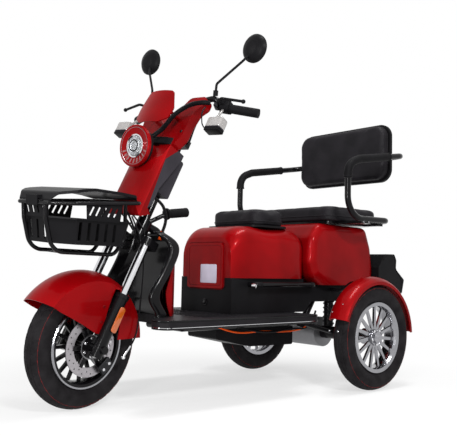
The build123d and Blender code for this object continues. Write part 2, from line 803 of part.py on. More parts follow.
def lower_body():
    """Black skirt under both shells, open inside, with the filler between them."""
    w = shell_wall
    low = deck_top + seat_gap
    joint = front_shell_low - seat_gap
    high = rear_shell_low - seat_gap
    front = front_shell_front
    skirt = [(front, low), (front, joint), (200, joint), (200, high)]
    skirt += [(-200, high), (-200, 340), (150, 340), (190, low)]
    inner = [(front - w, low + w), (front - w, joint + 8), (214, joint + 8)]
    inner += [(214, high - w), (-200 + w, high - w)]
    inner += [(-200 + w, 330), (150, 330), (190, low + w)]
    outer = plate(skirt, -body_half, body_half) - plate(inner, w - body_half, body_half - w)
    filler = (rear_shell_front + seat_gap, front_shell_rear - seat_gap)
    outer += block((filler[0], -140, joint - 4), (filler[1], 140, 566))
    for x in (30, -90):
        outer -= Pos(x, 0, rail_high) * across(stay_r + 2, 2 * body_half + 20)
    keep("lower_body", outer)


def rear_shell():
    """Red housing under the bench, rounded all round."""
    low = rear_shell_low
    top = rear_shell_top
    side = [
        (rear_shell_rear, low),
        (rear_shell_rear, 490, 60),
        (-196, 570, 60),
        (-160, top - 4, 30),
        (150, top, 50),
        (196, 600, 50),
        (rear_shell_front, 501, 60),
        (182, 440, 50),
        (126, low),
    ]
    form = plate(side, -rear_shell_half, rear_shell_half)
    edges = [e for e in form.edges() if abs(e.center().Y) > rear_shell_half - 1 and e.center().Z > low + 1]
    keep("rear_shell", fillet(edges, 34))


def cushion(front, rear, half, low, thick, corner, edge):
    """A plain pad: rounded in plan and along its top edge."""
    pad = Pos((front + rear) / 2, 0, low) * extrude(RectangleRounded(front - rear, 2 * half, corner), amount=thick)
    return fillet(pad.faces().sort_by(Axis.Z)[-1].edges(), edge)


def seats():
    pan_low = front_shell_top + seat_gap
    pan = Pos((driver_front + driver_rear) / 2 + 4, 0, pan_low)
    pan *= extrude(RectangleRounded(driver_front - driver_rear + 18, 2 * driver_half + 8, 40), amount=pan_thick)
    keep("driver_seat_pan", pan)
    low = pan_low + pan_thick + seat_gap
    keep("driver_seat", cushion(driver_front, driver_rear, driver_half, low, driver_thick, 44, 16))
    keep("bench_seat", cushion(bench_front, bench_rear, bench_half, bench_low, bench_thick, 50, 16))


def hatch():
    """Battery door hinged along its lower edge."""
    face = front_shell_front + seat_gap
    points = [(-104, 392, 10), (104, 392, 10), (104, 562, 20), (-104, 562, 20)]
    keep("hatch", extrude(Plane.YZ.offset(face) * outline(points), amount=6))


def arm_points():
    """The left side of the armrest loop, from under the bench to the middle of its back."""
    return [
        (-150, arm_half - 80, arm_low + 4),
        (-150, arm_half, arm_low + 4),
        (arm_post_x, arm_half, arm_low),
        (arm_post_x, arm_half, 890),
        (60, arm_half, arm_grip_z),
        (arm_back_x, arm_half, arm_back_z),
    ]


def armrests():
    """One bent tube round the bench on a welded seat frame, with soft sleeves."""
    side = arm_points()
    other = [(x, -y, z) for x, y, z in side[::-1]]
    loop = bent(side + other, [50, 90, 60, 40, 62, 62, 40, 60, 90, 50], arm_tube_r)
    low = rear_shell_top + seat_gap
    high = bench_low - seat_gap
    mid = (bench_front + bench_rear) / 2
    face = RectangleRounded(bench_front - bench_rear - 60, 2 * bench_half - 60, 30)
    pan = Pos(mid, 0, low) * extrude(face, amount=high - low)
    front_beam = block((-12, -arm_half - 6, low), (53, arm_half + 6, high))
    rear_beam = block((-168, -arm_half + 50, low), (-132, arm_half - 50, high))
    keep("armrest_frame", loop + pan + front_beam + rear_beam)
    slope = (arm_back_z - arm_grip_z) / (60 - arm_back_x)
    grip_end_x = -133.0
    grip = [(arm_post_x, arm_half, 838), (arm_post_x, arm_half, 890), (60, arm_half, arm_grip_z)]
    grip.append((grip_end_x, arm_half, arm_grip_z + slope * (60 - grip_end_x)))
    sleeve = bent(grip, [60, 40], sleeve_r) - bent(side[2:], [60, 40], arm_tube_r + seat_gap)
    keep("armrest_sleeves", both(sleeve))


def backrest():
    """Cushion on a hard back, carried by the loop's rear run."""
    shell_rear = arm_back_x + arm_tube_r + seat_gap
    face = RectangleRounded(back_wide, back_tall, 56)
    back = Pos(shell_rear, 0, back_z) * extrude(Plane.YZ * face, amount=back_shell_thick)
    keep("backrest_shell", back)
    rear = shell_rear + back_shell_thick + seat_gap
    pad = Pos(rear, 0, back_z) * extrude(Plane.YZ * face, amount=back_thick)
    keep("backrest_cushion", fillet(pad.faces().sort_by(Axis.X)[-1].edges(), 16))


def rear_fender():
    """An arched shell with turned-down edges, over one rear wheel."""
    inner = wheel_r + rear_fender_gap
    half = rear_fender_half
    w = fender_wall
    top = ThreePointArc((-half, inner - 12), (0, inner + w + 4), (half, inner - 12))
    under = ThreePointArc((half - w, inner - 13), (0, inner + 4), (w - half, inner - 13))
    foot = inner - 24
    band = top + Polyline((half, inner - 12), (half, foot), (half - w, foot), (half - w, inner - 13))
    band += under + Polyline((w - half, inner - 13), (w - half, foot), (-half, foot), (-half, inner - 12))
    return Rot(0, -87, 0) * revolve(Plane.YZ * make_face(band), Axis.Y, 158)


def rear_end():
    """Fenders, axle with its arms, motor, shocks, tail block and side bars."""
    keep("rear_fenders", both(Pos(0, track / 2 - 2, wheel_r) * rear_fender()))
    axle_reach = track / 2 - hub_half - 4
    axle = across(axle_tube_r, 2 * axle_reach) + across(stub_r, 2 * axle_out)
    axle -= across(motor_r + seat_gap, 2 * (motor_half + seat_gap))
    arm_y = rail_half + rail_r + 15
    eye = Pos(190, arm_y, rail_z - wheel_r)
    arm = rod((0, arm_y + 22, 0), (190, arm_y, rail_z - wheel_r), 10) + eye * across(18, 18)
    arm -= eye * across(tie_r + seat_gap, 40)
    keep("rear_axle", Pos(0, 0, wheel_r) * (axle + both(arm)))
    keep("motor", Pos(0, 0, wheel_r) * across(motor_r, 2 * motor_half))
    shock = Pos(0, shock_y, wheel_r + axle_tube_r + seat_gap)
    shock *= Cylinder(shock_r, rail_high - rail_r - wheel_r - axle_tube_r - 2 * seat_gap, align=upward)
    keep("shock_absorbers", both(shock))
    face = rear_shell_rear - seat_gap
    tail = [(face, 372), (face, 486), (-255, 545, 12), (-325, 546, 12), (-341, 520, 12), (-337, 480, 14)]
    tail += [(-rear_reach, 433, 8), (-384, 372, 8)]
    keep("tail_panel", plate(tail, -tail_half, tail_half))
    inside = body_half + seat_gap
    bar = [(500, inside, 409), (500, side_bar_y, 409), (172, side_bar_y, 409), (172, inside, 409)]
    keep("side_rails", both(bent(bar, [18, 18], side_bar_r)))


fork()
front_wheel()
rear_wheels()
front_fender()
column()
headlamp()
flyscreen()
handlebar()
controls()
basket()
basket_frame()
basket_lid()
frame()
footboard()
leg_shield()
front_shell()
lower_body()
rear_shell()
seats()
hatch()
armrests()
backrest()
rear_end()

os.makedirs("parts", exist_ok=True)
for name, shape in parts.items():
    export_step(shape, f"parts/{name}.step")
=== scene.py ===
import bpy
import math
from mathutils import Matrix, Vector
from mathutils.bvhtree import BVHTree


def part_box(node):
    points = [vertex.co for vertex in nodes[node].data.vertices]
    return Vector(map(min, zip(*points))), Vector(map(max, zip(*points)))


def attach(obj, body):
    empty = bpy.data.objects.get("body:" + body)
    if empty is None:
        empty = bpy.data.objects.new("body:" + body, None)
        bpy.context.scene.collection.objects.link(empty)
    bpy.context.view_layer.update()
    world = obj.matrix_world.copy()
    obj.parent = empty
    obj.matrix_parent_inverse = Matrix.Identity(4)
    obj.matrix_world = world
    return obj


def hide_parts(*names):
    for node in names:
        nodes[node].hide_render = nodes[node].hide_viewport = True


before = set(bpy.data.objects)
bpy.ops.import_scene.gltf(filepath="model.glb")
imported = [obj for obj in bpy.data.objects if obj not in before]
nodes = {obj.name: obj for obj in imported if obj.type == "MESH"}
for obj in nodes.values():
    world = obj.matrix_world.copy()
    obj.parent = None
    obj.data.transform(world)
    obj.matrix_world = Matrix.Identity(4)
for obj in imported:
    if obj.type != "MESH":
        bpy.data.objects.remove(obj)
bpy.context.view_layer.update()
print("tricycle frame loaded,", len(nodes), "nodes")

# camera, fitted to the photograph

cameraSetup = {
    "place": (1.7717, 2.0004, 0.4667),  # metres, ahead of and beside the front wheel
    "yaw": -131.48,
    "pitch": 4.24,
    "roll": 1.3,
    "lens": 53.57,
}


def makeCamera():
    yaw, pitch, roll = (math.radians(cameraSetup[k]) for k in ("yaw", "pitch", "roll"))
    look = Vector((math.cos(pitch) * math.cos(yaw), math.cos(pitch) * math.sin(yaw), math.sin(pitch)))
    right = look.cross(Vector((0, 0, 1))).normalized()
    up = right.cross(look)
    camX = right * math.cos(roll) + up * math.sin(roll)
    camY = up * math.cos(roll) - right * math.sin(roll)
    turn = Matrix((camX, camY, -look)).transposed().to_4x4()
    data = bpy.data.cameras.new("photoCamera")
    data.lens = cameraSetup["lens"]
    data.sensor_width = 36.0
    data.clip_end = 60.0
    camera = bpy.data.objects.new("photoCamera", data)
    camera.matrix_world = Matrix.Translation(cameraSetup["place"]) @ turn
    bpy.context.scene.collection.objects.link(camera)
    bpy.context.scene.camera = camera


makeCamera()

# drawing frames: metres from the rear axle's ground point, straight ahead, as the chassis is laid out

layout = {
    "middle": 0.4756,
    "wheelbase": 1.112,
    "wheelR": 0.208,
    "track": 0.670,
    "rake": 26.0,
    "forkOffset": 0.030,
    "parkedTurn": 10.6,  # degrees the bars are turned while parked
}


def frames():
    rake = math.radians(layout["rake"])
    chassis = Matrix.Translation((-layout["middle"], 0, 0))
    base = Vector((
        layout["wheelbase"] - layout["forkOffset"] * math.cos(rake),
        0,
        layout["wheelR"] - layout["forkOffset"] * math.sin(rake),
    ))
    axis = Vector((-math.sin(rake), 0, math.cos(rake)))
    turn = Matrix.Rotation(math.radians(layout["parkedTurn"]), 4, axis)
    front = chassis @ Matrix.Translation(base) @ turn @ Matrix.Translation(-base)
    rows = Matrix(((math.cos(rake), 0, -math.sin(rake)), (0, 1, 0), (math.sin(rake), 0, math.cos(rake))))
    head = front @ Matrix.Translation(base) @ rows.to_4x4()
    return chassis, front, head


chassisFrame, frontFrame, headFrame = frames()
alongY = Matrix.Rotation(math.radians(-90), 4, "X")  # local z to the left side
alongX = Matrix.Rotation(math.radians(90), 4, "Y")  # local z to the front
frontHub = frontFrame @ Matrix.Translation((layout["wheelbase"], 0, layout["wheelR"])) @ alongY
leftHub = chassisFrame @ Matrix.Translation((0, layout["track"] / 2, layout["wheelR"])) @ alongY
rightHub = chassisFrame @ Matrix.Translation((0, -layout["track"] / 2, layout["wheelR"])) @ alongY
lampFrame = frontFrame @ Matrix.Translation((0.957, 0, 0.885)) @ alongX

# node helpers


def newMaterial(name):
    material = bpy.data.materials.new(name)
    material.use_nodes = True
    tree = material.node_tree
    shader = tree.nodes["Principled BSDF"]
    return material, tree, shader


def objectCoords(tree, scale=(1, 1, 1)):
    coords = tree.nodes.new("ShaderNodeTexCoord")
    mapping = tree.nodes.new("ShaderNodeMapping")
    mapping.inputs["Scale"].default_value = scale
    tree.links.new(coords.outputs["Object"], mapping.inputs["Vector"])
    return mapping.outputs["Vector"]


def noise(tree, vector, scale, detail=3.0, rough=0.5):
    tex = tree.nodes.new("ShaderNodeTexNoise")
    tex.inputs["Scale"].default_value = scale
    tex.inputs["Detail"].default_value = detail
    tex.inputs["Roughness"].default_value = rough
    tree.links.new(vector, tex.inputs["Vector"])
    return tex.outputs["Fac"]


def ramp(tree, value, low, high, lowAt=0.35, highAt=0.65):
    node = tree.nodes.new("ShaderNodeValToRGB")
    node.color_ramp.elements[0].position = lowAt
    node.color_ramp.elements[1].position = highAt
    node.color_ramp.elements[0].color = (*low, 1)
    node.color_ramp.elements[1].color = (*high, 1)
    tree.links.new(value, node.inputs["Fac"])
    return node.outputs["Color"]


def span(tree, value, low, high):
    node = tree.nodes.new("ShaderNodeMapRange")
    node.inputs["To Min"].default_value = low
    node.inputs["To Max"].default_value = high
    tree.links.new(value, node.inputs["Value"])
    return node.outputs["Result"]


def bump(tree, height, strength, distance, normal=None):
    node = tree.nodes.new("ShaderNodeBump")
    node.inputs["Strength"].default_value = strength
    node.inputs["Distance"].default_value = distance
    tree.links.new(height, node.inputs["Height"])
    if normal:
        tree.links.new(normal, node.inputs["Normal"])
    return node.outputs["Normal"]


# finishes

finishes = {
    "redDeep": (0.155, 0.0004, 0.0012),
    "redBright": (0.235, 0.0008, 0.0022),
    "plasticBlack": (0.0048, 0.0046, 0.0052),
    "tubeBlack": (0.0032, 0.0030, 0.0035),
    "seatBlack": (0.0070, 0.0064, 0.0078),
    "tyreBlack": (0.0080, 0.0072, 0.0080),
}


def redPaintFinish():  # metallic basecoat under a clear coat
    material, tree, shader = newMaterial("cherryMetallic")
    where = objectCoords(tree)
    broad = noise(tree, where, 6.0, 2.0)
    flake = noise(tree, where, 1400.0, 1.0)
    tree.links.new(ramp(tree, broad, finishes["redDeep"], finishes["redBright"]), shader.inputs["Base Color"])
    tree.links.new(span(tree, flake, 0.30, 0.46), shader.inputs["Roughness"])
    tree.links.new(bump(tree, flake, 0.06, 0.0001), shader.inputs["Normal"])
    shader.inputs["Metallic"].default_value = 0.22
    shader.inputs["Specular IOR Level"].default_value = 0.03
    shader.inputs["Coat Weight"].default_value = 0.16
    shader.inputs["Coat Roughness"].default_value = 0.03
    shader.inputs["Coat IOR"].default_value = 1.36
    return material


def mouldedFinish(name, color, low, high, grain, depth, shine=0.05):  # plastic with a fine spark-eroded grain
    material, tree, shader = newMaterial(name)
    where = objectCoords(tree)
    fine = noise(tree, where, grain, 3.0)
    broad = noise(tree, where, 9.0, 2.0)
    pale = tuple(c * 1.7 for c in color)
    tree.links.new(ramp(tree, broad, color, pale, 0.3, 0.8), shader.inputs["Base Color"])
    tree.links.new(span(tree, fine, low, high), shader.inputs["Roughness"])
    tree.links.new(bump(tree, fine, 0.35, depth), shader.inputs["Normal"])
    shader.inputs["Specular IOR Level"].default_value = shine
    return material


def chromeFinish():
    material, tree, shader = newMaterial("brightChrome")
    haze = noise(tree, objectCoords(tree), 60.0, 4.0)
    tree.links.new(span(tree, haze, 0.05, 0.14), shader.inputs["Roughness"])
    shader.inputs["Base Color"].default_value = (0.70, 0.70, 0.72, 1)
    shader.inputs["Metallic"].default_value = 1.0
    return material


def alloyFinish(name, color, low, high, grain):
    material, tree, shader = newMaterial(name)
    where = objectCoords(tree)
    fine = noise(tree, where, grain, 4.0)
    tree.links.new(span(tree, fine, low, high), shader.inputs["Roughness"])
    tree.links.new(ramp(tree, fine, tuple(c * 0.8 for c in color), color), shader.inputs["Base Color"])
    tree.links.new(bump(tree, fine, 0.2, 0.0002), shader.inputs["Normal"])
    shader.inputs["Metallic"].default_value = 1.0
    return material


def leatherFinish():  # grained seat cover
    material, tree, shader = newMaterial("seatLeather")
    where = objectCoords(tree)
    cells = tree.nodes.new("ShaderNodeTexVoronoi")
    cells.feature = "DISTANCE_TO_EDGE"
    cells.inputs["Scale"].default_value = 420.0
    tree.links.new(where, cells.inputs["Vector"])
    crease = noise(tree, where, 14.0, 4.0)
    first = bump(tree, crease, 0.2, 0.003)
    tree.links.new(bump(tree, cells.outputs["Distance"], 0.35, 0.0006, first), shader.inputs["Normal"])
    tree.links.new(span(tree, crease, 0.42, 0.56), shader.inputs["Roughness"])
    tree.links.new(ramp(tree, crease, finishes["seatBlack"], (0.0125, 0.0112, 0.0135)), shader.inputs["Base Color"])
    shader.inputs["Specular IOR Level"].default_value = 0.09
    return material


def rubberFinish():
    material, tree, shader = newMaterial("tyreRubber")
    where = objectCoords(tree)
    dust = noise(tree, where, 26.0, 5.0)
    fine = noise(tree, where, 700.0, 2.0)
    tree.links.new(ramp(tree, dust, finishes["tyreBlack"], (0.0150, 0.0138, 0.0150)), shader.inputs["Base Color"])
    tree.links.new(span(tree, dust, 0.55, 0.72), shader.inputs["Roughness"])
    tree.links.new(bump(tree, fine, 0.3, 0.0004), shader.inputs["Normal"])
    shader.inputs["Specular IOR Level"].default_value = 0.05
    return material


def glassFinish():
    material, tree, shader = newMaterial("lampGlass")
    haze = noise(tree, objectCoords(tree), 90.0, 2.0)
    tree.links.new(span(tree, haze, 0.02, 0.08), shader.inputs["Roughness"])
    shader.inputs["Base Color"].default_value = (0.85, 0.88, 0.9, 1)
    shader.inputs["Transmission Weight"].default_value = 0.85
    return material


def lensFinish(name, color, clear, ribScale):  # ribbed moulded lens
    material, tree, shader = newMaterial(name)
    ribs = noise(tree, objectCoords(tree), ribScale, 1.0)
    tree.links.new(span(tree, ribs, 0.10, 0.24), shader.inputs["Roughness"])
    tree.links.new(bump(tree, ribs, 0.25, 0.0006), shader.inputs["Normal"])
    tree.links.new(ramp(tree, ribs, tuple(c * 0.7 for c in color), color), shader.inputs["Base Color"])
    shader.inputs["Transmission Weight"].default_value = clear
    shader.inputs["Coat Weight"].default_value = 0.6
    return material


def glowFinish():  # the lit window of the display
    material, tree, shader = newMaterial("displayBlue")
    bands = noise(tree, objectCoords(tree, (1, 1, 3)), 90.0, 2.0)
    tree.links.new(ramp(tree, bands, (0.0, 0.05, 0.10), (0.02, 0.32, 0.48)), shader.inputs["Base Color"])
    tree.links.new(span(tree, bands, 0.1, 0.2), shader.inputs["Roughness"])
    return material


red = redPaintFinish()
plastic = mouldedFinish("bodyPlastic", finishes["plasticBlack"], 0.30, 0.46, 900.0, 0.0002)
glossBlack = mouldedFinish("glossPlastic", finishes["tubeBlack"], 0.10, 0.2, 700.0, 0.00006, 0.14)
tubePaint = mouldedFinish("tubeEnamel", finishes["tubeBlack"], 0.12, 0.22, 500.0, 0.00006, 0.14)
gripRubber = mouldedFinish("gripRubber", finishes["plasticBlack"], 0.5, 0.65, 700.0, 0.0005, 0.05)
deckPlastic = mouldedFinish("deckPlastic", (0.0095, 0.0088, 0.0100), 0.34, 0.5, 800.0, 0.0003)
greyPlastic = mouldedFinish("greyPlastic", (0.027, 0.025, 0.030), 0.4, 0.55, 800.0, 0.0002)
chrome = chromeFinish()
wheelAlloy = alloyFinish("wheelAlloy", (0.34, 0.34, 0.36), 0.10, 0.2, 300.0)
castAlloy = alloyFinish("castAlloy", (0.25, 0.25, 0.26), 0.4, 0.6, 400.0)
discSteel = alloyFinish("discSteel", (0.42, 0.40, 0.42), 0.24, 0.36, 240.0)
leather = leatherFinish()
rubber = rubberFinish()
lampGlass = glassFinish()
amber = lensFinish("amberLens", (0.44, 0.085, 0.006), 0.0, 420.0)
whiteLens = lensFinish("whiteLens", (0.42, 0.40, 0.39), 0.25, 300.0)
mirrorSilver = alloyFinish("mirrorSilver", (0.9, 0.9, 0.9), 0.01, 0.03, 50.0)
orangeSleeve = mouldedFinish("orangeSleeve", (0.55, 0.06, 0.005), 0.35, 0.5, 600.0, 0.0002)
redLine = mouldedFinish("tyreLine", (0.22, 0.010, 0.008), 0.5, 0.65, 500.0, 0.0002)
redButton = mouldedFinish("redButton", (0.55, 0.012, 0.01), 0.2, 0.3, 500.0, 0.0001)
labelPlate = mouldedFinish("blankPlate", (0.42, 0.39, 0.47), 0.3, 0.42, 300.0, 0.0001)
displayBlue = glowFinish()
slotGrey = mouldedFinish("slotGrey", (0.20, 0.10, 0.10), 0.2, 0.35, 500.0, 0.0001)
redScrew = mouldedFinish("paintedScrew", (0.10, 0.002, 0.003), 0.25, 0.4, 600.0, 0.0001)
castAlloyDark = alloyFinish("castAlloyDark", (0.035, 0.035, 0.038), 0.35, 0.5, 400.0)
print("finishes ready")

nodeFinish = {
    red: ["front_fender", "column_cover", "flyscreen", "leg_panel", "front_shell", "rear_shell",
          "rear_fenders", "hatch", "headlamp_bezel"],
    plastic: ["basket", "basket_lid", "lower_body", "tail_panel", "battery_tray", "backrest_shell", "driver_seat_pan",
              "controls", "mirrors", "headlamp_bucket"],
    deckPlastic: ["footboard"],
    greyPlastic: ["column_back"],
    glossBlack: ["leg_shield", "side_rails"],
    tubePaint: ["frame", "basket_frame", "handlebar", "armrest_frame", "fork_crown", "fork_legs", "rear_axle",
                "front_rim", "shock_absorbers"],
    chrome: ["fork_tubes"],
    wheelAlloy: ["rear_left_rim", "rear_right_rim"],
    castAlloy: ["motor"],
    discSteel: ["front_disc"],
    rubber: ["front_tyre", "rear_left_tyre", "rear_right_tyre"],
    gripRubber: ["grips", "armrest_sleeves"],
    leather: ["bench_seat", "driver_seat", "backrest_cushion"],
    lampGlass: ["headlamp_lens"],
    whiteLens: ["indicators"],
    mirrorSilver: ["mirror_glass"],
}


def smoothTree():  # joins the loose triangles and rounds the shading up to 32 degrees
    tree = bpy.data.node_groups.new("softShading", "GeometryNodeTree")
    tree.interface.new_socket("Geometry", in_out="INPUT", socket_type="NodeSocketGeometry")
    tree.interface.new_socket("Geometry", in_out="OUTPUT", socket_type="NodeSocketGeometry")
    start = tree.nodes.new("NodeGroupInput")
    merge = tree.nodes.new("GeometryNodeMergeByDistance")
    merge.inputs["Distance"].default_value = 0.00002
    angle = tree.nodes.new("GeometryNodeInputMeshEdgeAngle")
    compare = tree.nodes.new("FunctionNodeCompare")
    compare.operation = "GREATER_THAN"
    compare.inputs["B"].default_value = math.radians(32)
    faces = tree.nodes.new("GeometryNodeSetShadeSmooth")
    edges = tree.nodes.new("GeometryNodeSetShadeSmooth")
    edges.domain = "EDGE"
    edges.inputs["Shade Smooth"].default_value = False
    end = tree.nodes.new("NodeGroupOutput")
    tree.links.new(start.outputs[0], merge.inputs["Geometry"])
    tree.links.new(merge.outputs["Geometry"], faces.inputs["Geometry"])
    tree.links.new(faces.outputs["Geometry"], edges.inputs["Geometry"])
    tree.links.new(angle.outputs["Unsigned Angle"], compare.inputs["A"])
    tree.links.new(compare.outputs["Result"], edges.inputs["Selection"])
    tree.links.new(edges.outputs["Geometry"], end.inputs[0])
    return tree


softShading = smoothTree()
for finish, names in nodeFinish.items():
    for name in names:
        if name not in nodes:
            print("no node", name)
            continue
        piece = nodes[name]
        piece.data.materials.clear()
        piece.data.materials.append(finish)
        piece.modifiers.new("softShading", "NODES").node_group = softShading
        even = piece.modifiers.new("evenShading", "WEIGHTED_NORMAL")  # large flats keep their own normal
        even.mode = "FACE_AREA"
        even.weight = 60
        even.keep_sharp = True
print("frame dressed")

# modelling helpers: a primitive, shaped in edit mode, then placed in its drawing frame


def clearSelection():
    if bpy.context.object and bpy.context.object.mode != "OBJECT":
        bpy.ops.object.mode_set(mode="OBJECT")
    bpy.ops.object.select_all(action="DESELECT")


def makeCurrent(piece):
    clearSelection()
    piece.select_set(True)
    bpy.context.view_layer.objects.active = piece


def applyModifier(piece, modifier):
    makeCurrent(piece)
    bpy.ops.object.modifier_apply(modifier=modifier.name)


def cleanNormals(piece):
    makeCurrent(piece)
    bpy.ops.object.mode_set(mode="EDIT")
    bpy.ops.mesh.select_all(action="SELECT")
    bpy.ops.mesh.remove_doubles(threshold=0.000005)
    bpy.ops.mesh.normals_make_consistent(inside=False)
    bpy.ops.object.mode_set(mode="OBJECT")


def settle(piece, place, finish, body, smooth=35):  # into its place, dressed and riding its body
    piece.data.transform(piece.matrix_world)
    piece.matrix_world = Matrix.Identity(4)
    piece.data.transform(place)
    cleanNormals(piece)
    if smooth:
        bpy.ops.object.shade_smooth_by_angle(angle=math.radians(smooth))
    piece.data.materials.clear()
    piece.data.materials.append(finish)
    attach(piece, body)
    return piece


def outlineRing(name, points, filled):
    clearSelection()
    bpy.ops.mesh.primitive_circle_add(vertices=len(points), radius=0.05, fill_type="NGON" if filled else "NOTHING")
    piece = bpy.context.object
    piece.name = name
    for vertex, point in zip(piece.data.vertices, points):
        vertex.co = point
    return piece


def turned(name, profile, steps=48):  # a closed profile of (r, z) spun about local z
    piece = outlineRing(name, [(r, 0, z) for r, z in profile], False)
    bpy.ops.object.mode_set(mode="EDIT")
    bpy.ops.mesh.select_all(action="SELECT")
    bpy.ops.mesh.spin(steps=steps, angle=math.tau, center=(0, 0, 0), axis=(0, 0, 1))
    bpy.ops.mesh.select_all(action="SELECT")
    bpy.ops.mesh.remove_doubles(threshold=0.000005)
    bpy.ops.object.mode_set(mode="OBJECT")
    return piece


def cutPlate(name, points, thick, edge=0.0):  # an (x, y) outline raised by its thickness, with eased edges
    piece = outlineRing(name, [(x, y, 0) for x, y in points], True)
    bpy.ops.object.mode_set(mode="EDIT")
    bpy.ops.mesh.select_all(action="SELECT")
    bpy.ops.mesh.extrude_region_move(TRANSFORM_OT_translate={"value": (0, 0, thick)})
    bpy.ops.object.mode_set(mode="OBJECT")
    cleanNormals(piece)
    if edge:
        easeEdges(piece, edge)
    return piece


def easeEdges(piece, width, segments=3):
    rounder = piece.modifiers.new("easedEdges", "BEVEL")
    rounder.width = width
    rounder.segments = segments
    rounder.limit_method = "ANGLE"
    rounder.angle_limit = math.radians(40)
    applyModifier(piece, rounder)


def roundedCorners(width, height, radius, steps=5):
    points = []
    for cx, cy, start in ((1, 1, 0), (-1, 1, 90), (-1, -1, 180), (1, -1, 270)):
        for k in range(steps + 1):
            a = math.radians(start + 90 * k / steps)
            points.append((cx * (width / 2 - radius) + radius * math.cos(a),
                cy * (height / 2 - radius) + radius * math.sin(a)))
    return points


def housing(name, size, edge, inset=0.0):  # a moulded block: eased edges and a stepped upper face
    clearSelection()
    bpy.ops.mesh.primitive_cube_add(size=1)
    piece = bpy.context.object
    piece.name = name
    piece.scale = size
    bpy.ops.object.transform_apply(location=False, rotation=False, scale=True)
    if inset:
        bpy.ops.object.mode_set(mode="EDIT")
        bpy.ops.mesh.select_mode(type="FACE")
        bpy.ops.mesh.select_all(action="DESELECT")
        bpy.ops.object.mode_set(mode="OBJECT")
        for face in piece.data.polygons:
            face.select = face.normal.z > 0.9
        bpy.ops.object.mode_set(mode="EDIT")
        bpy.ops.mesh.inset(thickness=inset)
        bpy.ops.transform.translate(value=(0, 0, -inset / 2))
        bpy.ops.object.mode_set(mode="OBJECT")
    easeEdges(piece, edge)
    return piece


def copies(piece, places):  # the same piece at each place, joined into one
    made = []
    for place in places:
        twin = piece.copy()
        twin.data = piece.data.copy()
        twin.data.transform(place)
        bpy.context.scene.collection.objects.link(twin)
        made.append(twin)
    name = piece.name
    bpy.data.objects.remove(piece)
    clearSelection()
    for twin in made:
        twin.select_set(True)
    bpy.context.view_layer.objects.active = made[0]
    if len(made) > 1:
        bpy.ops.object.join()
    made[0].name = name
    return made[0]


def cable(name, points, radius, ridges=0.0, closed=False, fine=10):  # a held cable on a smooth line
    data = bpy.data.curves.new(name, "CURVE")
    data.dimensions = "3D"
    spline = data.splines.new("NURBS")
    spline.points.add(len(points) - 1)
    for knot, point in zip(spline.points, points):
        knot.co = (*point, 1)
    spline.order_u = 3
    spline.use_endpoint_u = not closed
    spline.use_cyclic_u = closed
    data.resolution_u = fine
    data.bevel_depth = radius
    data.bevel_resolution = 3
    data.use_fill_caps = not closed
    piece = bpy.data.objects.new(name, data)
    bpy.context.scene.collection.objects.link(piece)
    makeCurrent(piece)
    bpy.ops.object.convert(target="MESH")
    piece = bpy.context.object
    if ridges:
        ringSize = 10
        corners = piece.data.vertices
        for ring in range(1, len(corners) // ringSize - 1):
            group = corners[ring * ringSize:(ring + 1) * ringSize]
            middle = sum((c.co for c in group), Vector()) / ringSize
            grow = 1 + (ridges if ring % 2 else -ridges)
            for corner in group:
                corner.co = middle + (corner.co - middle) * grow
    return piece


# bolts and screws

fasteners = {"capR": 0.0052, "capTall": 0.003}


def capScrew():
    r, tall = fasteners["capR"], fasteners["capTall"]
    profile = [(0.0, tall * 0.45), (r * 0.42, tall * 0.45), (r * 0.5, tall), (r * 0.8, tall), (r, tall * 0.6),
        (r, -0.001), (0.0, -0.001)]
    return turned("capScrew", profile, 16)


def screwsAt(name, finish, body, places):
    piece = capScrew()
    piece.name = name
    return settle(copies(piece, places), Matrix.Identity(4), finish, body)


# tyres: round crown, bulging walls, three grooves and curved sipes

tyreShape = {"width": 0.081, "radius": 0.208, "beadR": 0.1314, "steps": 360, "sipes": 36, "groove": 0.0026}


def throughThree(a, b, c, count):
    ax, ay, bx, by, cx, cy = *a, *b, *c
    d = 2 * (ax * (by - cy) + bx * (cy - ay) + cx * (ay - by))
    ux = ((ax * ax + ay * ay) * (by - cy) + (bx * bx + by * by) * (cy - ay) + (cx * cx + cy * cy) * (ay - by)) / d
    uy = ((ax * ax + ay * ay) * (cx - bx) + (bx * bx + by * by) * (ax - cx) + (cx * cx + cy * cy) * (bx - ax)) / d
    r = math.hypot(ax - ux, ay - uy)
    start, mid, end = (math.atan2(p[1] - uy, p[0] - ux) for p in (a, b, c))
    turn = (end - start) % math.tau
    if (mid - start) % math.tau > turn:
        turn -= math.tau
    return [(ux + r * math.cos(start + turn * k / count), uy + r * math.sin(start + turn * k / count))
            for k in range(count + 1)]


def tyreProfile():
    half, r = tyreShape["width"] / 2, tyreShape["radius"]
    tread = 2 * half * 0.36
    crown = throughThree((tread, r - 0.009), (0, r), (-tread, r - 0.009), 22)
    wall = throughThree((tread, r - 0.009), (half, r - 0.036), (0.0277, 0.1425), 9)[1:]
    bead = [(0.0257, 0.138), (0.0257, tyreShape["beadR"])]
    side = wall + bead
    return [(r, z) for z, r in crown + [(-z, r) for z, r in side] + side[::-1]]


def treadDepth(angle, across):
    a = abs(across)
    depth = 0.0
    for groove in (0.0, 0.0145):
        if abs(a - groove) < 0.0016:
            depth = 1.0
    if 0.004 < a < 0.034:
        pitch = math.tau / tyreShape["sipes"]
        side = 0.5 if across > 0 else 0.0
        sweep = side + 9.0 * (a - 0.004) + 420.0 * (a - 0.004) ** 2
        phase = (angle / pitch + sweep) % 1.0
        if phase < 0.13:
            depth = max(depth, 0.8)
    return depth


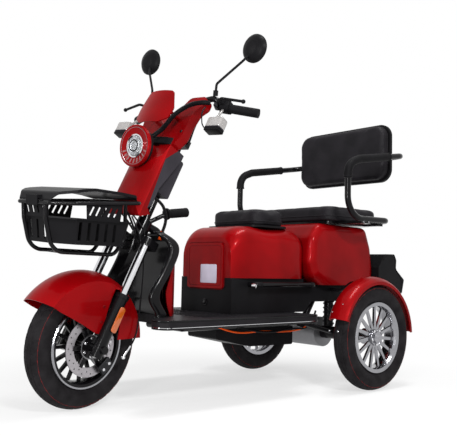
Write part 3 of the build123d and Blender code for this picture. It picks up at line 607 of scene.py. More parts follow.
def makeTyre(name, node, hub, body):
    piece = turned(name, tyreProfile(), tyreShape["steps"])
    edge = tyreShape["radius"] - 0.020
    for vertex in piece.data.vertices:
        x, y, z = vertex.co
        r = math.hypot(x, y)
        if r > edge:
            depth = treadDepth(math.atan2(y, x), z) * tyreShape["groove"] * min(1.0, (r - edge) / 0.006)
            vertex.co = (x * (r - depth) / r, y * (r - depth) / r, z)
    settle(piece, hub, rubber, body, 28)
    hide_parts(node)
    for side in (-1, 1):
        line = [(0.1931, 0.0337), (0.1939, 0.0337), (0.1939, 0.0328), (0.1931, 0.0328)]
        lineRing = turned(name + ("LineIn" if side < 0 else "LineOut"), [(r, side * z) for r, z in line], 96)
        settle(lineRing, hub, redLine, body, 30)


makeTyre("frontTyreTread", "front_tyre", frontHub, "front_wheel")
makeTyre("leftTyreTread", "rear_left_tyre", leftHub, "rear_left_wheel")
makeTyre("rightTyreTread", "rear_right_tyre", rightHub, "rear_right_wheel")
print("tyres treaded")

# bright lip, disc bolts and hub trim of the front wheel

frontTrim = {"boltRing": 0.029, "bolts": 6, "carrierFace": 0.0486}


def rimLip(name, hub, body, side):
    lip = [(0.1412, 0.0292), (0.1414, 0.0299), (0.1384, 0.0335), (0.1330, 0.0325), (0.1328, 0.0317), (0.1380, 0.0327)]
    return settle(turned(name, [(r, side * z) for r, z in lip], 96), hub, wheelAlloy, body, 30)


rimLip("frontLipLeft", frontHub, "front_wheel", 1)
rimLip("frontLipRight", frontHub, "front_wheel", -1)


def discBolts():
    places = []
    for k in range(frontTrim["bolts"]):
        a = math.tau * (k + 0.5) / frontTrim["bolts"]
        spot = (frontTrim["boltRing"] * math.cos(a), frontTrim["boltRing"] * math.sin(a), frontTrim["carrierFace"])
        places.append(frontHub @ Matrix.Translation(spot))
    screwsAt("discBolts", chrome, "front_wheel", places)
    ring = [(0.0362, 0.0472), (0.0362, 0.0478), (0.0402, 0.0476), (0.0402, 0.0462), (0.0362, 0.0462)]
    settle(turned("discInnerRing", ring, 48), frontHub, castAlloy, "front_wheel")


discBolts()


def carrierCover():
    ring = [(0.0142, 0.0474), (0.0142, 0.0484), (0.0358, 0.0484), (0.0364, 0.0478), (0.0364, 0.0474)]
    settle(turned("carrierCover", ring, 48), frontHub, tubePaint, "front_wheel")
    arm = cutPlate("carrierArms", [(0.031, -0.0074), (0.0712, -0.0074), (0.0712, 0.0074), (0.031, 0.0074)],
        0.0009, 0.0003)
    turns = [frontHub @ Matrix.Rotation(math.tau * k / 6, 4, "Z") @ Matrix.Translation((0, 0, 0.0467))
             for k in range(6)]
    settle(copies(arm, turns), Matrix.Identity(4), tubePaint, "front_wheel")


carrierCover()


def wheelNuts(name, hub, body, side):  # five bright nuts round the cap of a rear hub
    nut = turned("nut", [(0.0, 0.005), (0.004, 0.005), (0.0065, 0.003), (0.0072, 0.0), (0.0, 0.0)], 6)
    places = []
    for k in range(5):
        a = math.tau * k / 5 + 0.3
        flip = Matrix.Identity(4) if side > 0 else Matrix.Rotation(math.pi, 4, "X")
        spot = Matrix.Translation((0.0275 * math.cos(a), 0.0275 * math.sin(a), side * 0.0242))
        places.append(hub @ spot @ flip)
    nut = copies(nut, places)
    nut.name = name
    settle(nut, Matrix.Identity(4), chrome, body)


wheelNuts("leftWheelNuts", leftHub, "rear_left_wheel", 1)
wheelNuts("rightWheelNuts", rightHub, "rear_right_wheel", -1)
print("wheels trimmed")

# fork: caliper, side reflectors, fender bolts, free brake cable with its adjuster

forkTrim = {
    "reflector": (0.024, 0.088, 0.0055),
    "reflectorAt": (0.026, 0.1072, 0.106),
    "caliper": (0.052, 0.036, 0.017),
    "caliperAngle": 229.0,
}


def sideReflectors():
    w, h, t = forkTrim["reflector"]
    x, y, z = forkTrim["reflectorAt"]
    for name, side in (("reflectorLeft", 1), ("reflectorRight", -1)):
        plate = cutPlate(name, roundedCorners(w, h, 0.0095), t, 0.0018)
        stand = Matrix(((1, 0, 0, x), (0, 0, side, side * y), (0, 1, 0, z), (0, 0, 0, 1)))
        settle(plate, headFrame @ stand, amber, "steering", 30)
        rim = cutPlate(name + "Base", roundedCorners(w + 0.004, h + 0.004, 0.011), 0.0024, 0.0008)
        settle(rim, headFrame @ stand, plastic, "steering", 30)


sideReflectors()


def caliper():
    block = housing("brakeCaliper", forkTrim["caliper"], 0.005, 0.004)
    a = math.radians(forkTrim["caliperAngle"])
    spot = Vector((layout["wheelbase"] + 0.084 * math.cos(a), 0.0586, layout["wheelR"] + 0.084 * math.sin(a)))
    rows = Matrix(((math.sin(a), math.cos(a), 0), (0, 0, 1), (-math.cos(a), math.sin(a), 0))).to_4x4()
    place = frontFrame @ Matrix.Translation(spot) @ rows
    settle(block, place, castAlloyDark, "steering")
    screwsAt("caliperBolts", chrome, "steering",
        [place @ Matrix.Translation((x, 0.002, 0.0066)) for x in (-0.014, 0.014)])


caliper()


fenderShape = {
    "centre": (0.020, 0.010),  # of its arc, ahead of and above the axle
    "crownR": 0.235,
    "edgeR": 0.206,
    "half": 0.078,
    "wall": 0.003,
    # side outline from the axle: behind the leg, the leg's slot, the front skirt and its tip
    "outline": [
        (-0.085, 0.022), (-0.088, 0.064), (-0.090, 0.110), (-0.102, 0.150), (-0.114, 0.180),
        (-0.058, 0.190), (-0.044, 0.160), (-0.030, 0.117), (-0.022, 0.084), (-0.017, 0.062), (-0.010, 0.051),
        (0.0, 0.047), (0.015, 0.051), (0.054, 0.074), (0.104, 0.099), (0.153, 0.122), (0.212, 0.156),
        (0.262, 0.178), (0.300, 0.300), (-0.300, 0.300), (-0.300, 0.022),
    ],
}


def makeFender():  # a domed band cut to its side outline
    half, wall = fenderShape["half"], fenderShape["wall"]
    crown, edge = fenderShape["crownR"], fenderShape["edgeR"]
    dome = throughThree((-half, edge), (0, crown), (half, edge), 20)
    liner = throughThree((half - wall, edge - 0.001), (0, crown - wall), (wall - half, edge - 0.001), 20)
    profile = [(0.03, -half)] + [(r, z) for z, r in dome] + [(0.03, half), (0.03, half - wall)]
    profile += [(r, z) for z, r in liner] + [(0.03, wall - half)]
    shell = turned("frontFenderShell", profile, 144)
    cleanNormals(shell)
    cx, cz = fenderShape["centre"]
    cutter = cutPlate("fenderCutter", [(x - cx, -(z - cz)) for x, z in fenderShape["outline"]], 0.2)
    cutter.data.transform(Matrix.Translation((0, 0, -0.1)))
    cut = shell.modifiers.new("sideOutline", "BOOLEAN")
    cut.operation = "INTERSECT"
    cut.solver = "EXACT"
    cut.object = cutter
    applyModifier(shell, cut)
    bpy.data.objects.remove(cutter)
    place = frontFrame @ Matrix.Translation((layout["wheelbase"] + cx, 0, layout["wheelR"] + cz)) @ alongY
    settle(shell, place, red, "steering", 34)
    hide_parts("front_fender")


makeFender()


def fenderBolts():
    places = []
    for side in (1, -1):
        face = Matrix.Rotation(math.radians(-90 * side), 4, "X")
        for x, z in ((1.098, 0.342), (1.105, 0.293)):
            places.append(frontFrame @ Matrix.Translation((x, side * 0.0782, z)) @ face)
    screwsAt("fenderBolts", redScrew, "steering", places)


fenderBolts()

frontCables = {
    "brakeLine": [(0.985, 0.050, 0.640), (0.962, 0.088, 0.560), (0.955, 0.094, 0.480), (0.952, 0.092, 0.394),
                  (0.953, 0.092, 0.276), (0.966, 0.092, 0.226), (0.981, 0.091, 0.208)],
    "hoseA": [(0.990, 0.030, 0.655), (0.975, 0.060, 0.600), (0.985, 0.072, 0.560), (0.990, 0.060, 0.515)],
    "hoseB": [(0.985, -0.010, 0.655), (0.955, 0.030, 0.600), (0.935, 0.050, 0.540), (0.945, 0.052, 0.500)],
    "hoseC": [(0.975, 0.020, 0.660), (0.935, 0.058, 0.610), (0.925, 0.062, 0.555), (0.940, 0.030, 0.520)],
    "sleeve": [(0.930, 0.040, 0.735), (0.890, 0.088, 0.700), (0.866, 0.092, 0.660), (0.856, 0.086, 0.622),
        (0.855, 0.070, 0.592)],
}


def layCables():
    leads = (("brakeLine", 0.0028, tubePaint), ("hoseA", 0.0036, glossBlack), ("hoseB", 0.0036, glossBlack),
             ("hoseC", 0.0028, glossBlack), ("sleeve", 0.0055, plastic))
    for name, radius, finish in leads:
        ribbed = name == "sleeve"
        piece = cable(name, frontCables[name], radius, fine=24 if ribbed else 12, ridges=0.10 if ribbed else 0)
        settle(piece, frontFrame, finish, "steering")
    tip = cable("sleeveTip", [(0.8556, 0.072, 0.597), (0.8545, 0.066, 0.583), (0.853, 0.060, 0.568)], 0.0062)
    settle(tip, frontFrame, orangeSleeve, "steering")
    band = cable("sleeveBand", [(0.935, 0.034, 0.738), (0.926, 0.045, 0.733), (0.916, 0.056, 0.726)], 0.0062)
    settle(band, frontFrame, orangeSleeve, "steering")
    barrel = cable("cableAdjuster", [(0.981, 0.091, 0.208), (0.994, 0.0905, 0.192), (1.008, 0.090, 0.173)], 0.0034)
    settle(barrel, frontFrame, chrome, "steering")
    knob = turned("adjusterKnob", [(0.0, 0.0), (0.006, 0.0), (0.007, 0.003), (0.007, 0.008), (0.005, 0.010),
        (0.0, 0.010)], 12)
    settle(knob, frontFrame @ Matrix.Translation((1.008, 0.090, 0.168)), chrome, "steering")


layCables()
print("fork dressed")

# headlamp: bright ring, reflector under the glass, slots and pale edge line in the red dish

lampTrim = {"slots": 9, "slotFrom": 200.0, "slotTo": 340.0, "slotSize": (0.0185, 0.0056), "slotAt": 0.0530}


def dressLamp():
    ring = [(0.0352, -0.0058), (0.0352, -0.0035), (0.0375, -0.0012), (0.0412, -0.0030), (0.0418, -0.0088),
        (0.0385, -0.0088)]
    settle(turned("lampRing", ring, 64), lampFrame, chrome, "steering")
    bowl = [(0.0, -0.01195), (0.0372, -0.01195), (0.0372, -0.01178), (0.0, -0.01178)]
    settle(turned("lampReflector", bowl, 64), lampFrame, discSteel, "steering")
    inner = [(0.0175, -0.0008), (0.0175, 0.0026), (0.0195, 0.0036), (0.0215, 0.0022), (0.0215, -0.0008)]
    settle(turned("projectorRing", inner, 48), lampFrame, castAlloyDark, "steering")
    line = [(0.0642, -0.0028), (0.0642, -0.0014), (0.0652, -0.0011), (0.0656, -0.0026)]
    settle(turned("lampLine", line, 96), lampFrame, wheelAlloy, "steering")
    w, h = lampTrim["slotSize"]
    slot = cutPlate("lampSlots", roundedCorners(w, h, h * 0.45, 4), 0.0016, 0.0004)
    places = []
    for k in range(lampTrim["slots"]):
        share = k / (lampTrim["slots"] - 1)
        a = math.radians(lampTrim["slotFrom"] + (lampTrim["slotTo"] - lampTrim["slotFrom"]) * share)
        # local x of the lamp points down, local y to the left side
        out = Vector((-math.sin(a), math.cos(a), 0))
        spot = out * lampTrim["slotAt"] + Vector((0, 0, -0.0058))
        lean = Matrix.Rotation(math.atan2(out.y, out.x), 4, "Z") @ Matrix.Rotation(math.radians(-15.6), 4, "Y")
        places.append(lampFrame @ Matrix.Translation(spot) @ lean)
    settle(copies(slot, places), Matrix.Identity(4), slotGrey, "steering")


dressLamp()

# cockpit: loom, switch pods, indicators, levers' balls, display

cockpit = {
    "loomR": 0.0082,
    "loom": [(0.905, 0.036, 0.925), (0.893, 0.060, 0.945), (0.884, 0.074, 0.966), (0.868, 0.090, 1.002),
             (0.855, 0.126, 1.030), (0.838, 0.154, 1.046), (0.806, 0.172, 1.056), (0.782, 0.176, 1.058)],
    "indicatorWire": [(0.800, 0.176, 1.040), (0.826, 0.184, 1.020), (0.830, 0.190, 0.992),
        (0.822, 0.188, 0.968), (0.806, 0.204, 0.950)],
    "gripStart": (0.034, 0.200, 0.937),
    "gripEnd": (-0.008, 0.306, 0.940),
}


def podFrame(side):  # on the bar just inside a grip, local z up the head, local y along the bar outwards
    start, end = Vector(cockpit["gripStart"]), Vector(cockpit["gripEnd"])
    run = (end - start).normalized()
    up = Vector((0, 0, 1))
    up = (up - run * up.dot(run)).normalized()
    ahead = run.cross(up)
    rows = Matrix((ahead, run, up)).transposed().to_4x4()
    place = Matrix.Translation(start) @ rows
    return headFrame @ (place if side > 0 else Matrix.Scale(-1, 4, (0, 1, 0)) @ place)


def switchPods():
    for side, label in ((1, "Left"), (-1, "Right")):
        place = podFrame(side)
        shell = housing("switchShell" + label, (0.044, 0.036, 0.030), 0.006, 0.005)
        settle(shell, place @ Matrix.Translation((0.0, -0.012, 0.014)), plastic, "steering")
        clamp = housing("barClamp" + label, (0.034, 0.018, 0.034), 0.005)
        settle(clamp, place @ Matrix.Translation((0.006, -0.042, 0.006)), castAlloyDark, "steering")
        screwsAt("clampScrews" + label, chrome, "steering",
                 [place @ Matrix.Translation((x, -0.042, 0.0232)) for x in (-0.004, 0.016)])
        collar = turned("gripCollar" + label, [(0.0166, 0.0), (0.0205, 0.001), (0.0205, 0.004), (0.0166, 0.005)], 32)
        settle(collar, place @ Matrix.Translation((0, 0.0078, 0)) @ alongY, gripRubber, "steering")
        profile = [(0.0, -0.0078), (0.004, -0.0067), (0.0068, -0.0039), (0.0078, 0.0), (0.0068, 0.0039),
                   (0.004, 0.0067), (0.0, 0.0078)]
        ball = turned("leverBall" + label, profile, 20)
        tip = Vector((0.0745, side * 0.298, 0.930))
        settle(ball, headFrame @ Matrix.Translation(tip), plastic, "steering")
        lock = housing("leverPivot" + label, (0.030, 0.024, 0.020), 0.004, 0.003)
        settle(lock, headFrame @ Matrix.Translation((0.062, side * 0.186, 0.944)), plastic, "steering")
    button = turned("redSwitch", [(0.0, 0.0068), (0.004, 0.0064), (0.0066, 0.005), (0.0074, 0.0025),
        (0.0074, -0.002), (0.0, -0.002)], 20)
    settle(button, podFrame(1) @ Matrix.Translation((0.004, -0.008, 0.0268)), redButton, "steering")
    for name, x, y in (("toggleA", -0.008, -0.020), ("toggleB", 0.012, -0.018)):
        toggle = housing(name, (0.008, 0.012, 0.007), 0.002)
        settle(toggle, podFrame(1) @ Matrix.Translation((x, y, 0.028)), glossBlack, "steering")


switchPods()


def layLoom():
    loom = cable("cockpitLoom", cockpit["loom"], cockpit["loomR"], 0.07, fine=26)
    settle(loom, frontFrame, plastic, "steering")
    wire = cable("indicatorWire", cockpit["indicatorWire"], 0.0022)
    settle(wire, frontFrame, plastic, "steering")
    screwsAt("hornScrews", tubePaint, "steering",
             [headFrame @ Matrix.Translation((0.1042, y, 0.792)) @ alongX for y in (0.100, -0.100)])


layLoom()


def dressIndicators():
    for side, label in ((1, "Left"), (-1, "Right")):
        base = housing("indicatorBase" + label, (0.036, 0.064, 0.012), 0.003)
        settle(base, headFrame @ Matrix.Translation((0.085, side * 0.230, 0.8025)), plastic, "steering")
        seam = cutPlate("indicatorFrame" + label, roundedCorners(0.0395, 0.0675, 0.009), 0.0035, 0.0012)
        settle(seam, headFrame @ Matrix.Translation((0.085, side * 0.230, 0.8085)), greyPlastic, "steering")


dressIndicators()


def dressDisplay():
    place = headFrame @ Matrix.Translation((0.054, -0.182, 0.970)) @ Matrix.Rotation(math.radians(12), 4, "Y")
    for name, turn, shift in (("displayWindow", -90, -0.0122), ("displayFilm", 90, 0.0122)):
        pane = cutPlate(name, roundedCorners(0.034, 0.036, 0.004), 0.0012, 0.0004)
        face = Matrix.Translation((shift, 0, 0)) @ Matrix.Rotation(math.radians(turn), 4, "Y")
        settle(pane, place @ face, displayBlue, "steering")


dressDisplay()


def boxDetails():  # lid line and catch on the box behind the column
    rib = cutPlate("boxLid", roundedCorners(0.070, 0.118, 0.008), 0.0022, 0.0008)
    face = Matrix(((0, 0, -1, -0.0202), (1, 0, 0, 0), (0, 1, 0, 0.660), (0, 0, 0, 1)))
    settle(rib, headFrame @ face, plastic, "steering")
    catch = housing("boxCatch", (0.012, 0.020, 0.006), 0.002)
    settle(catch, headFrame @ face @ Matrix.Translation((0, 0.048, 0.0046)), chrome, "steering")


boxDetails()


def neckBand():  # black collar between the horns and the lower cover
    side = [(0.052, 0.0812), (0.100, 0.0812), (0.108, 0.074), (0.115, 0.050), (0.118, 0.020)]
    plan = side + [(x, -y) for x, y in side[::-1]]
    band = cutPlate("neckBand", plan, 0.026, 0.0015)
    lean = Matrix.Translation((0, 0, 0.744)) @ Matrix.Rotation(math.radians(4), 4, "Y")
    settle(band, headFrame @ lean, plastic, "steering")


neckBand()
print("cockpit dressed")

# parking brake grip behind the shield

brakeGrip = {"start": (0.812, 0.040, 0.655), "end": (0.722, 0.040, 0.667)}


def dressBrakeGrip():
    start, end = Vector(brakeGrip["start"]), Vector(brakeGrip["end"])
    run = end - start
    place = chassisFrame @ Matrix.Translation(start) @ run.to_track_quat("Z", "Y").to_matrix().to_4x4()
    length = run.length
    skin = [(0.0150, 0.012), (0.0162, 0.012), (0.0162, 0.020)]
    for k in range(6):
        z = 0.024 + 0.009 * k
        skin += [(0.0162, z), (0.0169, z + 0.002), (0.0169, z + 0.004), (0.0162, z + 0.006)]
    skin += [(0.0172, length - 0.006), (0.0172, length + 0.0012), (0.0152, length + 0.0022),
             (0.0104, length + 0.0018), (0.0098, length + 0.0003), (0.0, length + 0.0003),
             (0.0, length + 0.00005), (0.0150, length + 0.00005)]
    settle(turned("brakeGripSleeve", skin, 40), place, gripRubber, "chassis")
    collar = [(0.0150, -0.004), (0.0205, -0.002), (0.0215, 0.004), (0.0195, 0.009), (0.0150, 0.011)]
    settle(turned("brakeGripCollar", collar, 40), place, plastic, "chassis")


dressBrakeGrip()

# deck: rolled lip and bright trim line round its edge

deckTrim = {"half": 0.2884, "front": 0.9904, "rear": 0.262}


def deckEdge(side, out):
    half, front, rear = deckTrim["half"] + out, deckTrim["front"] + out, deckTrim["rear"]
    line = [(rear, half - 0.012), (rear + 0.016, half - 0.001), (rear + 0.040, half), (0.60, half),
            (0.930, half), (0.966, half - 0.001), (0.980, half - 0.012), (front - 0.002, half - 0.028),
            (front, 0.245), (front - 0.001, 0.230)]
    return [(x, side * y) for x, y in line]


def trimDeck():
    for side, label in ((1, "Left"), (-1, "Right")):
        lip = cable("deckLip" + label, [(x, y, 0.2965) for x, y in deckEdge(side, -0.0016)], 0.0036)
        settle(lip, chassisFrame, glossBlack, "chassis")
        line = cable("deckLine" + label, [(x, y, 0.2760) for x, y in deckEdge(side, -0.0004)], 0.0012)
        settle(line, chassisFrame, chrome, "chassis")
        sill = cable("deckSill" + label, [(x, y, 0.2722) for x, y in deckEdge(side, -0.001)], 0.0028)
        settle(sill, chassisFrame, glossBlack, "chassis")


trimDeck()

# front shell: hatch seam and blank plate, charge socket, bar lock

shellTrim = {"hatchFace": 0.5943, "socketFace": 0.588}


def dressShell():
    ring = roundedCorners(0.214, 0.176, 0.018, 6)
    gap = cable("hatchSeam", [(0.5888, y, z + 0.477) for y, z in ring], 0.0017, closed=True)
    settle(gap, chassisFrame, redScrew, "chassis")
    path = [(shellTrim["hatchFace"] + 0.0002, y, z + 0.477) for y, z in roundedCorners(0.188, 0.150, 0.014, 6)]
    inner = cable("hatchEdge", path, 0.0009, closed=True)
    settle(inner, chassisFrame, redScrew, "hatch")
    plate = cutPlate("blankPlate", roundedCorners(0.094, 0.070, 0.005), 0.0012, 0.0004)
    face = Matrix(((0, 0, 1, shellTrim["hatchFace"]), (1, 0, 0, 0.024), (0, 1, 0, 0.446), (0, 0, 0, 1)))
    settle(plate, chassisFrame @ face, labelPlate, "hatch")
    cap = [(0.0, 0.0035), (0.008, 0.0035), (0.0095, 0.0025), (0.0115, 0.0030), (0.0135, 0.0020),
        (0.0140, -0.002), (0.0, -0.002)]
    place = chassisFrame @ Matrix.Translation((shellTrim["socketFace"], 0, 0.338)) @ alongX
    settle(turned("chargeSocket", cap, 40), place, glossBlack, "chassis")
    for side, label in ((1, "Left"), (-1, "Right")):
        for x, name in ((0.497, "Front"), (0.175, "Rear")):
            away = 1 if x > 0.3 else -1
            bend = [(x, side * 0.150, 0.409), (x + 0.003 * away, side * 0.176, 0.409),
                    (x - 0.012 * away, side * 0.1850, 0.409), (x - 0.026 * away, side * 0.1852, 0.409)]
            end = cable("barEnd" + name + label, bend, 0.0102)
            settle(end, chassisFrame, plastic, "chassis")
    barrel = [(0.0, 0.0030), (0.0045, 0.0030), (0.0060, 0.0045), (0.0076, 0.0040), (0.0082, 0.0),
        (0.0082, -0.010), (0.0, -0.010)]
    spot = chassisFrame @ Matrix.Translation((0.508, 0.188, 0.405))
    place = spot @ Matrix.Rotation(math.radians(25), 4, "Z") @ alongY
    settle(turned("barLock", barrel, 32), place, chrome, "chassis")


dressShell()
print("chassis trimmed")

# under the deck and at the rear

rearTrim = {
    "orangeLead": [(0.640, 0.108, 0.262), (0.600, 0.122, 0.244), (0.515, 0.124, 0.226), (0.400, 0.122, 0.232),
                   (0.300, 0.121, 0.222), (0.185, 0.124, 0.226), (0.130, 0.128, 0.252), (0.100, 0.122, 0.285)],
    "blackLead": [(0.560, 0.116, 0.262), (0.480, 0.126, 0.236), (0.360, 0.126, 0.222), (0.240, 0.124, 0.236),
                  (0.160, 0.126, 0.228), (0.110, 0.124, 0.262), (0.090, 0.118, 0.300)],
}


def dressUnderside():
    settle(cable("orangeLead", rearTrim["orangeLead"], 0.0032), chassisFrame, orangeSleeve, "chassis")
    settle(cable("blackLead", rearTrim["blackLead"], 0.0040), chassisFrame, plastic, "chassis")
    for name, x in (("leadClipFront", 0.515), ("leadClipRear", 0.240)):
        clip = turned(name, [(0.0141, -0.005), (0.0158, -0.005), (0.0158, 0.005), (0.0141, 0.005)], 32)
        settle(clip, chassisFrame @ Matrix.Translation((x, 0.100, 0.256)) @ alongX, plastic, "chassis")
    places = [chassisFrame @ Matrix.Translation((x, side * 0.1142, z))
              @ Matrix.Rotation(math.radians(-90 * side), 4, "X")
              for x, z in ((0.160, 0.262), (0.240, 0.256)) for side in (1, -1)]
    screwsAt("railBolts", chrome, "chassis", places)


dressUnderside()


def springs():  # coils round both dampers
    for side, label in ((1, "Left"), (-1, "Right")):
        coil = [(0.0225 * math.cos(k * math.tau / 8), 0.0225 * math.sin(k * math.tau / 8),
            0.004 + 0.130 * k / 56) for k in range(57)]
        place = chassisFrame @ Matrix.Translation((0, side * 0.112, 0.2343))
        settle(cable("rearSpring" + label, coil, 0.0034, fine=4), place, tubePaint, "chassis")


springs()


def fenderRivets():
    places = []
    inner = layout["wheelR"] + 0.024
    for side in (1, -1):
        for angle, across in ((8, 0.020), (8, -0.020), (26, -0.026), (34, 0.014), (150, 0.0)):
            a = math.radians(angle)
            rise = inner + 0.0068 - 0.016 * (abs(across) / 0.044) ** 2
            out = Vector((math.cos(a), 0, math.sin(a)))
            spot = Vector((0, side * (layout["track"] / 2 - 0.002 + across), layout["wheelR"])) + out * rise
            facing = out.to_track_quat("Z", "Y").to_matrix().to_4x4()
            places.append(chassisFrame @ Matrix.Translation(spot) @ facing @ Matrix.Scale(0.6, 4))
    screwsAt("fenderRivets", chrome, "chassis", places)


fenderRivets()


def dressTail():  # raised panel lines on the tail block
    for side, label in ((1, "Left"), (-1, "Right")):
        edge = [(-0.246, 0.520), (-0.262, 0.5385), (-0.320, 0.5395), (-0.3345, 0.517), (-0.3305, 0.4775),
            (-0.392, 0.432), (-0.379, 0.380)]
        rim = cable("tailEdge" + label, [(x, side * 0.2150, z) for x, z in edge], 0.0022)
        settle(rim, chassisFrame, plastic, "chassis")


dressTail()


def armrestTrim():
    places = []
    for side in (1, -1):
        face = Matrix.Rotation(math.radians(-90 * side), 4, "X")
        for x in (0.004, 0.038):
            places.append(chassisFrame @ Matrix.Translation((x, side * 0.3202, 0.6662)) @ face)
    screwsAt("beamBolts", castAlloy, "chassis", places)
    for side, label in ((1, "Left"), (-1, "Right")):
        for x, z, turnY, name in ((0.132, 0.8385, 0, "Post"), (-0.1325, 0.9502, -90.5, "Back")):
            ring = turned("sleeveEnd" + name + label, [(0.0128, -0.003), (0.0182, -0.002), (0.0186, 0.002),
                (0.0170, 0.004), (0.0128, 0.004)], 32)
            lean = Matrix.Rotation(math.radians(turnY + (9.5 if turnY else 0)), 4, "Y")
            place = chassisFrame @ Matrix.Translation((x, side * 0.314, z)) @ lean
            settle(ring, place, gripRubber, "chassis")


armrestTrim()
print("rear trimmed")

# seats: swollen covers with piping, in place of the plain pads

seatCovers = {
    "voxel": 0.005,
    "frames": 20,
    "pressure": 4.0,
    "cap": {"driver_seat": 0.006, "bench_seat": 0.006, "backrest_cushion": 0.006},
    "pipeR": 0.0026,
}


def paddedCover(name, node, body, up):
    source = nodes[node]
    mesh = source.data.copy()
    piece = bpy.data.objects.new(name, mesh)
    bpy.context.scene.collection.objects.link(piece)
    piece.matrix_world = source.matrix_world.copy()
    cleanNormals(piece)
    low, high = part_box(node)
    low, high = Vector(low), Vector(high)
    mid = (low + high) / 2
    mid = mid - up * (mid - low).dot(up) if up.z else Vector((low.x, mid.y, mid.z))
    size = high - low
    for vertex in piece.data.vertices:
        away = vertex.co - mid
        vertex.co = mid + Vector([away[k] * (1 - 0.009 / size[k]) for k in range(3)])
    remesh = piece.modifiers.new("voxels", "REMESH")
    remesh.mode = "VOXEL"
    remesh.voxel_size = seatCovers["voxel"]
    remesh.use_smooth_shade = True
    applyModifier(piece, remesh)
    rest = [vertex.co.copy() for vertex in piece.data.vertices]
    cloth = piece.modifiers.new("swell", "CLOTH")
    cloth.settings.quality = 4
    cloth.settings.use_pressure = True
    cloth.settings.uniform_pressure_force = seatCovers["pressure"]
    cloth.settings.effector_weights.gravity = 0.0
    scene = bpy.context.scene
    for step in range(1, seatCovers["frames"] + 1):
        scene.frame_set(step)
    applyModifier(piece, cloth)
    scene.frame_set(1)
    cap = seatCovers["cap"][node]
    base = low.z if up.z else low.x
    for vertex, start in zip(piece.data.vertices, rest):
        move = vertex.co - start
        if move.length > cap:
            move = move * (cap / move.length)
        place = start + move
        if up.z:
            place.z = max(place.z, base + 0.0002)
        else:
            place.x = max(place.x, base + 0.0002)
        vertex.co = place
    softener = piece.modifiers.new("smoother", "SMOOTH")
    softener.factor = 0.5
    softener.iterations = 4
    applyModifier(piece, softener)
    finer = piece.modifiers.new("finer", "SUBSURF")
    finer.levels = 1
    finer.render_levels = 1
    applyModifier(piece, finer)
    makeCurrent(piece)
    bpy.ops.object.shade_smooth()
    piece.data.materials.clear()
    piece.data.materials.append(leather)
    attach(piece, body)
    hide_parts(node)
    return piece


def pipeRound(cover, name, node, body, level, up):  # a welt laid on the cover's own side
    low, high = (Vector(c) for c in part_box(node))
    mid = (low + high) / 2
    mesh = cover.data
    tree = BVHTree.FromPolygons([v.co for v in mesh.vertices], [p.vertices for p in mesh.polygons])
    points = []
    for k in range(96):
        a = math.tau * k / 96
        if up.z:
            out = Vector((math.cos(a), math.sin(a), 0))
            origin = Vector((mid.x, mid.y, low.z + level)) + out * 0.6
        else:
            out = Vector((0, math.cos(a), math.sin(a)))
            origin = Vector((low.x + level, mid.y, mid.z)) + out * 0.6
        hit = tree.ray_cast(origin, -out)[0]
        if hit:
            points.append(hit + out * 0.0006)
    pipe = cable(name, points, seatCovers["pipeR"], closed=True, fine=4)
    settle(pipe, Matrix.Identity(4), leather, body)


upward, forward = Vector((0, 0, 1)), Vector((1, 0, 0))
driverCover = paddedCover("driverSeatCover", "driver_seat", "driver_seat", upward)
pipeRound(driverCover, "driverWelt", "driver_seat", "driver_seat", 0.016, upward)
benchCover = paddedCover("benchSeatCover", "bench_seat", "chassis", upward)
pipeRound(benchCover, "benchWelt", "bench_seat", "chassis", 0.020, upward)
backCover = paddedCover("backrestCover", "backrest_cushion", "chassis", forward)
pipeRound(backCover, "backrestWelt", "backrest_cushion", "chassis", 0.010, forward)
print("seats covered")

# studio

studio = {
    "floorSize": 24.0,
    "floorColor": (0.90, 0.90, 0.90, 1),
    "ambient": 0.30,
    "keyPower": 80.0,
    "fillPower": 20.0,
    "topPower": 55.0,
    "stripPower": 40.0,
    "fadeFrom": 0.5,
    "fadeTo": 1.5,
    "fadeLeast": 0.62,
}


def makeFloor():
    clearSelection()
    bpy.ops.mesh.primitive_grid_add(x_subdivisions=8, y_subdivisions=8, size=studio["floorSize"], location=(0, 0, 0))
    floor = bpy.context.object
    floor.name = "studioFloor"
    material, tree, shader = newMaterial("paleFloor")
    shader.inputs["Base Color"].default_value = studio["floorColor"]
    shader.inputs["Roughness"].default_value = 0.7
    shader.inputs["Specular IOR Level"].default_value = 0.1
    glow = tree.nodes.new("ShaderNodeEmission")
    glow.inputs["Strength"].default_value = 1.0
    mix = tree.nodes.new("ShaderNodeMixShader")
    coords = tree.nodes.new("ShaderNodeTexCoord")
    length = tree.nodes.new("ShaderNodeVectorMath")
    length.operation = "LENGTH"
    fade = tree.nodes.new("ShaderNodeMapRange")
    fade.interpolation_type = "SMOOTHSTEP"
    fade.inputs["From Min"].default_value = studio["fadeFrom"]
    fade.inputs["From Max"].default_value = studio["fadeTo"]
    fade.inputs["To Min"].default_value = studio["fadeLeast"]
    tree.links.new(coords.outputs["Object"], length.inputs[0])
    tree.links.new(length.outputs["Value"], fade.inputs["Value"])
    tree.links.new(fade.outputs["Result"], mix.inputs[0])
    tree.links.new(shader.outputs["BSDF"], mix.inputs[1])
    tree.links.new(glow.outputs["Emission"], mix.inputs[2])
    tree.links.new(mix.outputs["Shader"], tree.nodes["Material Output"].inputs["Surface"])
    floor.data.materials.append(material)


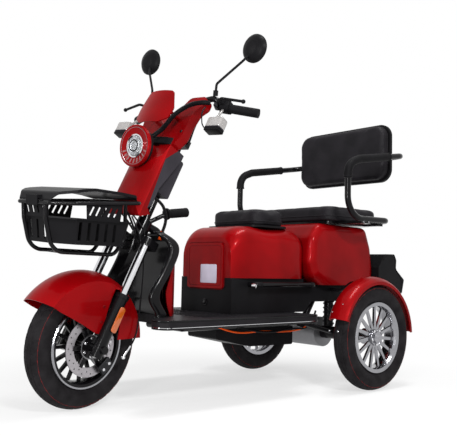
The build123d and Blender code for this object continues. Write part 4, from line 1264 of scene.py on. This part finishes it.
def areaLight(name, place, target, size, power):
    data = bpy.data.lights.new(name, "AREA")
    data.shape = "RECTANGLE"
    data.size, data.size_y = size
    data.energy = power
    light = bpy.data.objects.new(name, data)
    aim = Vector(target) - Vector(place)
    light.matrix_world = Matrix.Translation(place) @ aim.to_track_quat("-Z", "Y").to_matrix().to_4x4()
    bpy.context.scene.collection.objects.link(light)


def makeWorld():  # soft ambient for the object, plain white where it is seen or mirrored
    world = bpy.data.worlds.new("studioAir")
    world.use_nodes = True
    tree = world.node_tree
    ambient = tree.nodes["Background"]
    ambient.inputs["Color"].default_value = (1, 1, 1, 1)
    ambient.inputs["Strength"].default_value = studio["ambient"]
    seen = tree.nodes.new("ShaderNodeBackground")
    seen.inputs["Color"].default_value = (1, 1, 1, 1)
    seen.inputs["Strength"].default_value = 1.0
    rays = tree.nodes.new("ShaderNodeLightPath")
    either = tree.nodes.new("ShaderNodeMath")
    either.operation = "MAXIMUM"
    anyOf = tree.nodes.new("ShaderNodeMath")
    anyOf.operation = "MAXIMUM"
    tree.links.new(rays.outputs["Is Camera Ray"], either.inputs[0])
    tree.links.new(rays.outputs["Is Glossy Ray"], either.inputs[1])
    tree.links.new(either.outputs[0], anyOf.inputs[0])
    tree.links.new(rays.outputs["Is Transmission Ray"], anyOf.inputs[1])
    mix = tree.nodes.new("ShaderNodeMixShader")
    tree.links.new(anyOf.outputs[0], mix.inputs[0])
    tree.links.new(ambient.outputs["Background"], mix.inputs[1])
    tree.links.new(seen.outputs["Background"], mix.inputs[2])
    tree.links.new(mix.outputs["Shader"], tree.nodes["World Output"].inputs["Surface"])
    bpy.context.scene.world = world


makeFloor()
makeWorld()
areaLight("keySoftbox", (1.2, 3.0, 2.3), (0, 0, 0.5), (0.55, 0.30), studio["keyPower"])
areaLight("fillSoftbox", (3.2, -0.8, 1.6), (0.2, 0, 0.6), (0.4, 1.2), studio["fillPower"])
areaLight("topSoftbox", (-0.2, 0.6, 3.2), (0, 0, 0.4), (1.6, 0.5), studio["topPower"])
areaLight("stripSoftbox", (2.4, 1.6, 0.8), (0, 0.1, 0.6), (0.07, 1.2), studio["stripPower"])
bpy.context.scene.view_settings.view_transform = "Standard"
print("studio lit")
